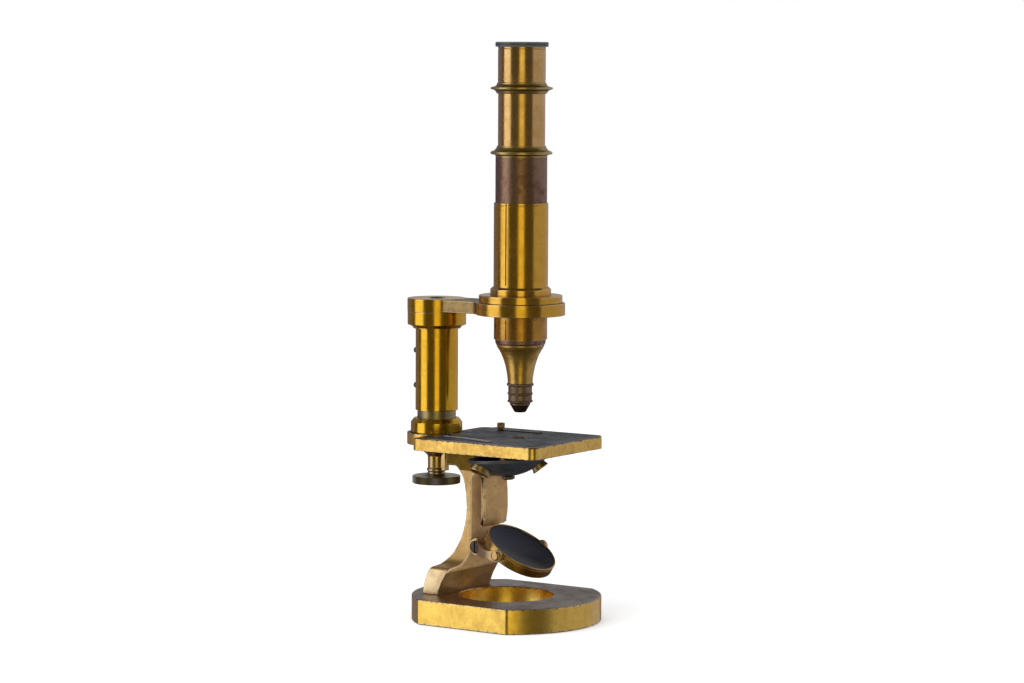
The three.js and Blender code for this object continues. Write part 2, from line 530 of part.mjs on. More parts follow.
// ---- draw tube and eyepiece ---------------------------------------------------------
{
  add('draw_tube', ringOf(DRAW.radius, DRAW.bore, DRAW.bottom, DRAW.top, OY), TONE.gold);
  const d = DRAW_FLANGE;
  add('draw_tube_flange', turned([
    [DRAW.bore, DRAW.top], [d.bottomR, DRAW.top], [d.rim, d.rimBottom], [d.rim, d.rimTop],
    [d.topR, d.top], [DRAW.bore, d.top]], OY), TONE.olive);
  const { radius, bore, bottom, top } = EYE_TUBE;
  add('eyepiece_tube', ringOf(radius, bore, bottom, top, OY), TONE.olive);
  add('eyepiece_barrel', ringOf(EYE_BARREL.radius, EYE_TUBE.bore, EYE_BARREL.bottom,
    EYE_BARREL.top, OY).subtract(disc(EYE_BARREL.bore, EYE_CAP.skirtBottom - 0.5,
    EYE_BARREL.top + 1, OY)), TONE.gold);
  const c = EYE_CAP;
  add('eyepiece_cap', turned([
    [c.seatR, c.skirtBottom], [c.skirtR, c.skirtBottom], [c.skirtR, EYE_BARREL.top],
    [c.radius, EYE_BARREL.top], [c.radius, c.top - c.edge], [c.radius - c.edge, c.top],
    [c.hole + 2.2, c.top], [c.hole, c.top - 1.0], [c.hole, EYE_BARREL.top - 1.2],
    [c.seatR, EYE_BARREL.top - 1.2]], OY), TONE.dark);
  add('lens_eye', lens(LENS.eye, OY), TONE.glass);
  add('lens_field', lens(LENS.field, OY), TONE.glass);
  add('field_stop', ringOf(FIELD_STOP.radius, FIELD_STOP.hole, FIELD_STOP.bottom, FIELD_STOP.top, OY,
    SEG.small), TONE.dark);
}

// ---- fine focus ---------------------------------------------------------------------
{
  const h = HOUSING;
  const last = h.profile[h.profile.length - 1];
  const body = turned([...h.profile, [h.bore, last[1]], [h.bore, h.profile[0][1]]], CY);
  const rib = box(-h.ribHalf, h.ribHalf, h.ribFront, h.ribRear, h.ribBottom, STAGE.bottom);
  add('spindle_housing', body.add(rib), TONE.gold);
  add('fine_focus_spindle', disc(SPINDLE.radius, SPINDLE.bottom, SPINDLE.top, CY, SEG.small), TONE.steel);
  const k = KNOB;
  const knob = turned([
    [0, k.bottom], [k.radius - k.edge, k.bottom], [k.radius, k.bottom + k.edge],
    [k.radius, k.top - k.edge], [k.radius - k.edge, k.top], [k.bossR, k.top], [k.hubR, k.bossTop],
    [k.hubR, k.hubTop], [SPINDLE.radius + GAP.bore, k.hubTop],
    [SPINDLE.radius + GAP.bore, SPINDLE.bottom - GAP.bore], [0, SPINDLE.bottom - GAP.bore]], CY);
  add('fine_focus_knob', knob, TONE.steel);
  const s = SPRING;
  class Coil extends THREE.Curve {
    getPoint(t, target = new THREE.Vector3()) {
      const a = 2 * Math.PI * s.turns * t;
      const z = s.bottom + (s.top - s.bottom) * t;
      return target.set(s.coilR * Math.cos(a), CY + s.coilR * Math.sin(a), z);
    }
  }
  const wire = new THREE.Shape();
  for (let i = 0; i < 5; i += 1) {
    const a = i * Math.PI / 2.5;
    const x = s.wireR * Math.cos(a);
    const y = s.wireR * Math.sin(a);
    if (i === 0) wire.moveTo(x, y);
    else wire.lineTo(x, y);
  }
  wire.closePath();
  add('column_spring', solid(new THREE.ExtrudeGeometry(wire, {
    steps: s.turns * s.steps, bevelEnabled: false, extrudePath: new Coil(),
  })), TONE.spring);
}

// ---- mirror -------------------------------------------------------------------------
{
  const m = MIRROR;
  const half = m.pivotDrop;
  const back = half - m.thick;
  const bowl = m.outerR - m.lip;
  // drum built flat around its pivot, then leaned about X and moved into the fork
  let cell = turned([
    [0, back], [m.outerR - m.round, back], [m.outerR, back + m.round], [m.outerR, half - 0.2],
    [m.outerR - 0.2, half], [bowl, half], [bowl, half - m.lipDepth - m.glassSag - m.glassGap],
    [0, half - m.lipDepth - m.glassSag - m.glassGap]], 0, SEG.medium);
  for (const sx of [-1, 1]) {
    const a = sx > 0 ? PIVOT_SCREW.inner : -m.outerR - 1;
    const b = sx > 0 ? m.outerR + 1 : -PIVOT_SCREW.inner;
    cell = cell.subtract(cross(PIVOT_SCREW.shankR + GAP.bore, a, b, 0, 0, SEG.tiny));
  }
  const gr = bowl - m.glassGap;
  const low = half - m.lipDepth - m.glassSag;
  const rows = [1, 0.75, 0.5, 0.25, 0];
  const dished = rows.map((t) => [gr * t, half - m.glassTop - m.glassSag * (1 - t * t)]);
  const glass = turned([[0, low], [gr, low], ...dished], 0, SEG.medium);
  const lean = new THREE.Matrix4().makeRotationX(m.lean);
  const cy = m.y + half * Math.sin(m.lean);
  const cz = m.z - half * Math.cos(m.lean);
  const move = new THREE.Matrix4().makeTranslation(0, cy, cz).multiply(lean);
  add('mirror_cell', placed(cell, move), TONE.gold);
  add('mirror_glass', placed(glass, move), TONE.mirror);

  const f = FORK;
  for (const [word, sx] of [['left', -1], ['right', 1]]) {
    // seen from above the arm runs straight past the limb, then curves round the drum
    const floorZ = f.z - f.reach;
    const roofZ = f.z + f.reach;
    const near = Math.min(sx * f.gapX, sx * (f.gapX + f.thick));
    const straight = box(near, near + f.thick, f.rootY, f.y + f.bossR, floorZ, roofZ);
    const wide = Math.min(sx * f.gapX, sx * (f.pivotX + 1));
    const bow = ringOf(f.pivotX, f.pivotX - f.thick, floorZ, roofZ, cy, SEG.large)
      .intersect(box(wide, wide + f.pivotX + 1 - f.gapX, cy - f.eyeR, f.y, floorZ - 1, roofZ + 1));
    const strip = bow.add(straight);
    const profile = [];
    for (const a of [-60, -30, 0, 30, 60, 90, 120]) {
      const t = a * Math.PI / 180;
      profile.push([f.y + f.bossR * Math.cos(t), f.z + f.bossR * Math.sin(t)]);
    }
    profile.push([f.y - f.waistBack, f.z - f.waistTop + f.halfH]);
    for (const a of [90, 120, 150, 180, 210, 240, 270]) {
      const t = a * Math.PI / 180;
      profile.push([cy + f.eyeR * Math.cos(t), cz + f.eyeR * Math.sin(t)]);
    }
    profile.push([f.y - f.waistBack, f.z - f.waistLow - f.halfH]);
    profile.push([f.y - f.heelBack, f.z - f.heelLow - f.bossR]);
    const x0 = sx > 0 ? f.inner : -f.outer;
    const x1 = sx > 0 ? f.outer : -f.inner;
    let arm = strip.intersect(sideways(profile, x0, x1));
    arm = arm.subtract(cross(f.holeR, x0, x1, f.y, f.z, SEG.tiny));
    arm = arm.subtract(cross(f.holeR, x0, x1, cy, cz, SEG.tiny));
    const sc = FORK_SCREW;
    const face = f.gapX + f.thick;
    const spot = sx > 0 ? [face, f.outer] : [-f.outer, -face];
    arm = arm.subtract(cross(sc.headR + GAP.seat, ...spot, f.y, f.z, SEG.small));
    add('fork_arm_' + word, arm, TONE.tan);

    const a0 = f.gapX + f.thick + 0.05;
    const a1 = a0 + sc.headH;
    const span = (p, q) => (sx > 0 ? [p, q] : [-q, -p]);
    const head = cross(sc.headR, ...span(a0, a1), f.y, f.z, SEG.small);
    const shank = cross(sc.shankR, ...span(SHAFT.halfX - 5, a0 + 0.5), f.y, f.z, SEG.tiny);
    const kerf = span(a1 - sc.slotDepth, a1 + 1);
    const slot = box(...kerf, f.y - 5, f.y + 5, f.z - sc.slotHalf, f.z + sc.slotHalf);
    add('fork_screw_' + word, head.add(shank).subtract(slot), TONE.steel);

    const p = PIVOT_SCREW;
    const b0 = f.pivotX + 0.05;
    const pivotHead = cross(p.headR, ...span(b0, b0 + p.headH), cy, cz, SEG.small);
    const pivotShank = cross(p.shankR, ...span(p.inner + 0.3, b0 + 0.4), cy, cz, SEG.tiny);
    add('mirror_screw_' + word, pivotHead.add(pivotShank), TONE.brown);
  }
  const b = BLOCK;
  const block = box(-b.halfX, b.halfX, b.front, b.rear, b.bottom, b.top);
  add('slide_block', block.subtract(cross(b.bore, -b.halfX - 1, b.halfX + 1, f.y, f.z)), TONE.olive);
  let shaft = cross(SHAFT.radius, -SHAFT.halfX, SHAFT.halfX, f.y, f.z);
  const bite = SHAFT.halfX - SHAFT.thread;
  shaft = shaft.subtract(cross(FORK_SCREW.shankR + GAP.bore, bite, SHAFT.halfX + 1, f.y, f.z, SEG.tiny));
  shaft = shaft.subtract(cross(FORK_SCREW.shankR + GAP.bore, -SHAFT.halfX - 1, -bite, f.y, f.z, SEG.tiny));
  add('fork_shaft', shaft, TONE.steel);
}

// ---- diaphragm ----------------------------------------------------------------------
{
  const d = DIAPHRAGM;
  const ball = (d.rimR * d.rimR + d.depth * d.depth) / (2 * d.depth);
  const sag = (r) => -d.depth + ball - Math.sqrt(ball * ball - r * r);
  const under = [];
  const over = [];
  for (let i = 0; i <= d.steps; i += 1) {
    const r = d.hubBore + (d.rimR - d.hubBore) * i / d.steps;
    under.push([r, sag(r) - d.thick]);
    over.unshift([Math.min(r, d.rimR - d.thick), sag(r)]);
  }
  const rim = [[d.rimR, d.lipH], [d.rimR - d.thick, d.lipH]];
  let dish = turned([...under, ...rim, ...over], 0, SEG.medium);
  const start = Math.atan2(OY - d.y, -d.x);
  const slope = Math.asin(d.holeRing / ball);
  d.holes.forEach((r, i) => {
    if (r === 0) return;
    const a = start + i * 2 * Math.PI / d.holes.length;
    // each collar stands square to the bowl
    const spot = new THREE.Matrix4().makeTranslation(d.holeRing * Math.cos(a), d.holeRing * Math.sin(a),
      sag(d.holeRing) - d.thick / 2);
    const hinge = new THREE.Vector3(Math.sin(a), -Math.cos(a), 0);
    spot.multiply(new THREE.Matrix4().makeRotationAxis(hinge, slope));
    dish = dish.add(placed(disc(r + d.collarWall, -d.collarOut, d.collarRoot, 0, SEG.small), spot));
    dish = dish.subtract(placed(disc(r, -d.collarOut - 1, d.collarOut, 0, SEG.small), spot));
  });
  const up = new THREE.Vector3(d.leanX, d.leanY, 1).normalize();
  const turn = new THREE.Quaternion().setFromUnitVectors(new THREE.Vector3(0, 0, 1), up);
  const move = new THREE.Matrix4().compose(new THREE.Vector3(d.x, d.y, d.rimZ), turn,
    new THREE.Vector3(1, 1, 1));
  add('diaphragm', placed(dish, move), TONE.dark);
  const s = DIA_SCREW;
  const under0 = sag(0) - d.thick;
  const postLow = sag(s.post) + s.postGap;
  const post = placed(disc(s.post, postLow, 12, 0, SEG.small), move);
  const trimmed = post.intersect(box(-40, 20, -40, 20, 60, STAGE.bottom));
  const bore = placed(disc(s.shankR + GAP.bore, postLow - 1, postLow + 4.5, 0, SEG.tiny), move);
  add('diaphragm_post', trimmed.subtract(bore), TONE.gold);
  const head0 = under0 - 0.15;
  const screw = turned([[0, head0 - s.headH], [s.headR - 0.5, head0 - s.headH],
    [s.headR, head0 - s.headH + 0.5], [s.headR, head0], [s.shankR, head0], [s.shankR, postLow + 4.0],
    [0, postLow + 4.0]], 0, SEG.small);
  add('diaphragm_screw', placed(screw, move), TONE.gold);
}

export default group;
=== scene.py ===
import math

import bmesh
import bpy
from mathutils import Matrix, Vector
from mathutils.geometry import tessellate_polygon


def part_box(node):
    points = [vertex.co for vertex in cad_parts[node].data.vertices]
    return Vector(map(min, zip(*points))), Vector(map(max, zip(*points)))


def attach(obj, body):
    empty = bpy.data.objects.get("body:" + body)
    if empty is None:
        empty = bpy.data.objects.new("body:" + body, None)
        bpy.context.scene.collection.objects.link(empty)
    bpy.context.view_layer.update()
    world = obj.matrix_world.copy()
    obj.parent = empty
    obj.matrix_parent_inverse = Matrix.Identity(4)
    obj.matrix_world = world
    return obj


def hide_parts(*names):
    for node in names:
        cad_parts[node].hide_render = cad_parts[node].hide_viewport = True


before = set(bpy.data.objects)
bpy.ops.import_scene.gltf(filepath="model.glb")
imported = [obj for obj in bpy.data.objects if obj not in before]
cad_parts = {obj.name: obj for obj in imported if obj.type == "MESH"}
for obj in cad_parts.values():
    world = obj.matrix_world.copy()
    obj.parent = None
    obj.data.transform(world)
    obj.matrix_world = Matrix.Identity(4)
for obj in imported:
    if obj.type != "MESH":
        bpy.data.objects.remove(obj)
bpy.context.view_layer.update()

MM = 0.001
EDGE = "edge"  # how far a vertex is out on a rounded edge, or in a corner where it is negative
CREASE = math.radians(38)


# ---- where things are -----------------------------------------------------------------
class Spot:
    """Where a CAD node stands, in mm: its middle, its half widths and its z range."""

    def __init__(self, node):
        low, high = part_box(node)
        self.x, self.y, self.z = ((low + high) / 2 / MM)[:]
        self.r = (high.x - low.x) / 2 / MM
        self.ry = (high.y - low.y) / 2 / MM
        self.x0, self.y0, self.lo = (low / MM)[:]
        self.x1, self.y1, self.hi = (high / MM)[:]


OPTIC = Spot("body_tube")
COLUMN = Spot("column_sleeve")
CENTRE_Y = Spot("base_plate").y


# ---- outlines -------------------------------------------------------------------------
NO_TURN = 0.02  # a corner within this many radians of straight, or of a fold, stays sharp
REACH = 0.45  # the share of a side that one rounding may take
SHORT, LONG = 0.25, 2.4  # gaps with no point in them, in mm, and with two, in supports


def rounded(outline):
    """(a, b, mark) points of a closed outline whose (a, b, fillet) corners are rounded.
    The mark is 1 on an outer rounding, -1 on an inner one and 0 beside them."""
    steps, support, sharp = 4, 0.45, 0.12
    corners = [(c[0], c[1], c[2] if len(c) > 2 else sharp) for c in outline]
    count = len(corners)
    spin = sum(corners[i - 1][0] * corners[i][1] - corners[i][0] * corners[i - 1][1] for i in range(count))
    arcs = []
    for i, (a, b, fillet) in enumerate(corners):
        p = Vector((a, b))
        back = Vector(corners[i - 1][:2]) - p
        on = Vector(corners[(i + 1) % count][:2]) - p
        turn = back.x * on.y - back.y * on.x
        mark = -1.0 if turn * spin > 0 else 1.0
        open_angle = back.angle(on)
        if fillet <= 0 or not NO_TURN <= open_angle <= math.pi - NO_TURN:
            arcs.append([(p.x, p.y, 0.0)])
            continue
        reach = min(fillet / math.tan(open_angle / 2), REACH * back.length, REACH * on.length)
        radius = reach * math.tan(open_angle / 2)
        middle = p + (back.normalized() + on.normalized()).normalized() * radius / math.sin(open_angle / 2)
        v0 = p + back.normalized() * reach - middle
        v1 = p + on.normalized() * reach - middle
        swing = math.pi - open_angle
        arc = []
        for k in range(steps + 1):
            t = k / steps
            v = (v0 * math.sin((1 - t) * swing) + v1 * math.sin(t * swing)) / math.sin(swing)
            strength = min(1.0, swing / 1.2)
            arc.append(((middle + v).x, (middle + v).y, mark * strength * (1.0 if 0 < k < steps else 0.6)))
        arcs.append(arc)
    points = []
    for i, arc in enumerate(arcs):
        points.extend(arc)
        a, b = Vector(arc[-1][:2]), Vector(arcs[(i + 1) % count][0][:2])
        gap = (b - a).length
        if gap > LONG * support:
            for t in (support / gap, 1 - support / gap):
                q = a.lerp(b, t)
                points.append((q.x, q.y, 0.0))
        elif gap > SHORT:
            q = a.lerp(b, 0.5)
            points.append((q.x, q.y, 0.0))
    return points


# ---- meshes ---------------------------------------------------------------------------
def to_object(name, bm, materials, matrix=None, pick=None):
    """bm, in mm, as an object. materials names its entries of MAT and pick chooses one for a face."""
    bmesh.ops.recalc_face_normals(bm, faces=bm.faces)
    if matrix is not None:
        bm.transform(matrix)
    bm.transform(Matrix.Scale(MM, 4))
    bm.normal_update()
    mesh = bpy.data.meshes.new(name)
    if pick is not None:
        for face in bm.faces:
            face.material_index = pick(face)
    bm.to_mesh(mesh)
    bm.free()
    for key in materials.split():
        mesh.materials.append(MAT[key])
    mesh.shade_smooth()
    mesh.set_sharp_from_angle(angle=CREASE)
    obj = bpy.data.objects.new(name, mesh)
    bpy.context.scene.collection.objects.link(obj)
    soften = obj.modifiers.new("weighted", "WEIGHTED_NORMAL")
    soften.keep_sharp = True
    return obj


def turned(name, outline, materials, at=OPTIC, segments=96, teeth=0, bite=0.0, band=None, matrix=None,
           pick=None):
    """A solid of revolution from (radius, z, fillet) corners. It stands at a Spot, or is turned about
    the z axis and then moved by matrix.
    teeth cuts a straight knurl of that many grooves into the points inside band = (r, z0, z1)."""
    x, y = (at.x, at.y) if matrix is None else (0, 0)
    if teeth:
        segments = teeth * 4
    points = rounded(outline)
    bm = bmesh.new()
    layer = bm.verts.layers.float.new(EDGE)
    rings = []
    for r, z, mark in points:
        if r < 1e-6:
            v = bm.verts.new((x, y, z))
            rings.append([v] * segments)
            continue
        ring = []
        for k in range(segments):
            a = 2 * math.pi * k / segments
            cut = 0.0
            if teeth and r >= band[0] and band[1] <= z <= band[2]:
                cut = bite * (0.0, 0.5, 1.0, 0.5)[k % 4]
            v = bm.verts.new((x + (r - cut) * math.cos(a), y + (r - cut) * math.sin(a), z))
            # knurl grooves are marked as inner corners, so the material darkens them with painted shade
            # and dirt
            v[layer] = mark if not cut else (-0.9 if k % 4 == 2 else -0.2)
            ring.append(v)
        rings.append(ring)
    for i, ring in enumerate(rings):
        after = rings[(i + 1) % len(rings)]
        for k in range(segments):
            n = (k + 1) % segments
            quad = []
            for v in (ring[k], ring[n], after[n], after[k]):
                if v not in quad:
                    quad.append(v)
            if len(quad) > 2:
                bm.faces.new(quad)
    return to_object(name, bm, materials, matrix, pick)


def inset_loop(points, d, sign):
    """The closed loop moved d to its inner side; sign is the loop's winding."""
    out = []
    count = len(points)
    for i, p in enumerate(points):
        e0 = (p - points[i - 1]).normalized()
        e1 = (points[(i + 1) % count] - p).normalized()
        n0 = Vector((-e0.y, e0.x)) * sign
        n1 = Vector((-e1.y, e1.x)) * sign
        mid = n0 + n1
        if mid.length < 1e-6:
            mid = n0.copy()
        mid.normalize()
        out.append(p + mid * d / max(0.5, mid.dot(n0)))
    return out


def winding(points):
    total = sum(points[i - 1].x * p.y - p.x * points[i - 1].y for i, p in enumerate(points))
    return 1.0 if total > 0 else -1.0


def edge_offsets(fillet, support, steps):
    """(inward, down, mark) steps from a flat face over its rounded edge."""
    offsets = [(support + fillet, 0.0, 0.0)]
    for k in range(steps + 1):
        a = math.pi / 2 * k / steps
        mark = 1.0 if 0 < k < steps else 0.6
        offsets.append((fillet * (1 - math.sin(a)), fillet * (1 - math.cos(a)), mark))
    return offsets


def plate(name, outline, holes, z0, z1, materials, fillet=0.4, support=0.6, steps=3, to3d=None,
          pick=None):
    """A flat piece with rounded edges. outline and holes are closed (a, b) loops in its plane.
    to3d(a, b, c) puts a point of it, at height c, in space."""
    loops = [[Vector(p) for p in outline]] + [[Vector(p) for p in h] for h in holes]
    place = to3d or (lambda a, b, c: (a, b, c))
    bm = bmesh.new()
    layer = bm.verts.layers.float.new(EDGE)
    offsets = edge_offsets(fillet, support, steps)
    middle = (z1 - z0) / 2
    if middle > fillet + support * 1.3:
        offsets.append((0.0, fillet + support, 0.0))
    sides = []
    for top in (True, False):
        side = []
        for number, loop in enumerate(loops):
            sign = winding(loop) * (1 if number == 0 else -1)
            rows = []
            for inward, down, mark in offsets:
                moved = inset_loop(loop, inward, sign)
                row = []
                for q in moved:
                    level = z1 - down if top else z0 + down
                    v = bm.verts.new(place(q.x, q.y, level))
                    v[layer] = mark
                    row.append(v)
                rows.append(row)
            side.append(rows)
        sides.append(side)
    for top, bottom in zip(*sides):
        rows = top + bottom[::-1]
        for r0, r1 in zip(rows, rows[1:]):
            for k in range(len(r0)):
                n = (k + 1) % len(r0)
                bm.faces.new((r0[k], r0[n], r1[n], r1[k]))
    for side, level in zip(sides, (z1, z0)):
        inner = [rows[0] for rows in side]
        flat = [v for row in inner for v in row]
        signs = [winding(loop) * (1 if i == 0 else -1) for i, loop in enumerate(loops)]
        polygons = [[Vector((q.x, q.y, 0)) for q in inset_loop(loop, offsets[0][0], s)]
            for loop, s in zip(loops, signs)]
        for a, b, c in tessellate_polygon(polygons):
            if len({a, b, c}) == 3:
                try:
                    bm.faces.new((flat[a], flat[b], flat[c]))
                except ValueError:
                    pass
    return to_object(name, bm, materials, pick=pick)


def arc(cx, cy, r, a0, a1, count):
    """count + 1 points of an arc, angles in degrees."""
    return [(cx + r * math.cos(math.radians(a0 + (a1 - a0) * k / count)),
        cy + r * math.sin(math.radians(a0 + (a1 - a0) * k / count))) for k in range(count + 1)]


def circle(cx, cy, r, count=48):
    return arc(cx, cy, r, 0, 360 * (count - 1) / count, count - 1)


def round_rect(x0, x1, y0, y1, r, steps=8):
    return (arc(x1 - r, y1 - r, r, 0, 90, steps) + arc(x0 + r, y1 - r, r, 90, 180, steps)
        + arc(x0 + r, y0 + r, r, 180, 270, steps) + arc(x1 - r, y0 + r, r, 270, 360, steps))


def loft(name, sections, materials, marks=None):
    """A skin over closed sections of equal count, with its two ends closed."""
    bm = bmesh.new()
    layer = bm.verts.layers.float.new(EDGE)
    rows = []
    for section in sections:
        row = []
        for i, p in enumerate(section):
            v = bm.verts.new(p)
            v[layer] = marks[i] if marks else 0.0
            row.append(v)
        rows.append(row)
    for r0, r1 in zip(rows, rows[1:]):
        for k in range(len(r0)):
            n = (k + 1) % len(r0)
            bm.faces.new((r0[k], r0[n], r1[n], r1[k]))
    bm.faces.new(rows[0])
    bm.faces.new(rows[-1][::-1])
    return to_object(name, bm, materials)


def cut_out(obj, cutter):
    """Takes the cutter's space out of obj."""
    soften = obj.modifiers["weighted"]
    soften.show_viewport = False
    cut = obj.modifiers.new("cut", "BOOLEAN")
    cut.operation, cut.solver, cut.object = "DIFFERENCE", "EXACT", cutter
    graph = bpy.context.evaluated_depsgraph_get()
    mesh = bpy.data.meshes.new_from_object(obj.evaluated_get(graph))
    obj.modifiers.remove(cut)
    soften.show_viewport = True
    obj.data = mesh
    mesh.set_sharp_from_angle(angle=CREASE)
    bpy.data.objects.remove(cutter)


def carve(obj, low, high, matrix=None):
    """Cuts a box, given in mm, out of obj."""
    bm = bmesh.new()
    bmesh.ops.create_cube(bm, size=1.0)
    low, high = Vector(low), Vector(high)
    bm.transform(Matrix.Translation((low + high) / 2) @ Matrix.Diagonal((*(high - low), 1.0)))
    if matrix is not None:
        bm.transform(matrix)
    bm.transform(Matrix.Scale(MM, 4))
    mesh = bpy.data.meshes.new("cutter")
    bm.to_mesh(mesh)
    bm.free()
    cutter = bpy.data.objects.new("cutter", mesh)
    bpy.context.scene.collection.objects.link(cutter)
    cut_out(obj, cutter)


def raised(z, *corners):
    """The (a, b, fillet) corners of an outline with z added to b."""
    return [(c[0], z + c[1], *c[2:]) for c in corners]


def pipe(s, bore, *fillets):
    """The outline of a plain tube as tall and wide as s; fillets go round from the bore's foot."""
    corners = ((bore, s.lo), (s.r, s.lo), (s.r, s.hi), (bore, s.hi))
    return [(r, z, fillet) for (r, z), fillet in zip(corners, fillets)]


def slot_cut(screw, s, reach, half, depth):
    """A driver slot across the top of a screw."""
    carve(screw, (s.x - reach, s.y - half, s.hi - depth), (s.x + reach, s.y + half, s.hi + 1))


def put(obj, body, slot, *nodes):
    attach(obj, body)
    if nodes:
        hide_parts(*nodes)
    return obj


# ---- materials ------------------------------------------------------------------------
class Graph:
    """Shorthand for the nodes of one material."""

    def __init__(self, name):
        self.material = bpy.data.materials.new(name)
        self.material.use_nodes = True
        self.tree = self.material.node_tree
        self.tree.nodes.clear()

    def node(self, kind, inputs=None, **settings):
        made = self.tree.nodes.new("ShaderNode" + kind)
        for key, value in settings.items():
            setattr(made, key, value)
        for key, value in (inputs or {}).items():
            if isinstance(value, bpy.types.NodeSocket):
                self.tree.links.new(value, made.inputs[key])
            else:
                made.inputs[key].default_value = value
        return made

    def math(self, operation, a, b=0.0, clamp=False):
        return self.node("Math", {0: a, 1: b}, operation=operation, use_clamp=clamp).outputs[0]

    def add(self, a, b, clamp=False):
        return self.math("ADD", a, b, clamp)

    def times(self, a, b, clamp=False):
        return self.math("MULTIPLY", a, b, clamp)

    def less(self, a, b):
        return self.math("SUBTRACT", a, b)

    def vector(self, operation, a, b=(0, 0, 0), scale=1.0):
        made = self.node("VectorMath", {0: a}, operation=operation)
        if operation == "SCALE":
            made.inputs["Scale"].default_value = scale
        else:
            self.plug(made.inputs[1], b)
        return made.outputs["Value" if operation in ("LENGTH", "DOT_PRODUCT") else "Vector"]

    def plug(self, socket, value):
        if isinstance(value, bpy.types.NodeSocket):
            self.tree.links.new(value, socket)
        else:
            socket.default_value = value

    def noise(self, vector, scale, detail=2.0, rough=0.5, distortion=0.0):
        return self.node("TexNoise", {"Vector": vector, "Scale": scale, "Detail": detail,
            "Roughness": rough, "Distortion": distortion}).outputs["Fac"]

    def ramp(self, value, low, high, out_low=0.0, out_high=1.0):
        return self.node("MapRange", {"Value": value, "From Min": low, "From Max": high,
            "To Min": out_low, "To Max": out_high}, interpolation_type="SMOOTHSTEP").outputs["Result"]

    def mix(self, amount, a, b):
        made = self.node("Mix", data_type="RGBA", blend_type="MIX", clamp_factor=True)
        self.plug(made.inputs["Factor"], amount)
        self.plug(made.inputs[6], a if isinstance(a, bpy.types.NodeSocket) else (*a, 1.0))
        self.plug(made.inputs[7], b if isinstance(b, bpy.types.NodeSocket) else (*b, 1.0))
        return made.outputs[2]

    def finished(self, shader):
        self.tree.links.new(shader.outputs[0], self.node("OutputMaterial").inputs[0])
        return self.material

    def shade(self, colour, amount):
        """colour times a grey amount."""
        made = self.node("Mix", data_type="RGBA", blend_type="MULTIPLY")
        made.inputs["Factor"].default_value = 1.0
        self.plug(made.inputs[6], colour)
        grey = self.node("CombineColor", {0: amount, 1: amount, 2: amount}).outputs[0]
        self.plug(made.inputs[7], grey)
        return made.outputs[2]


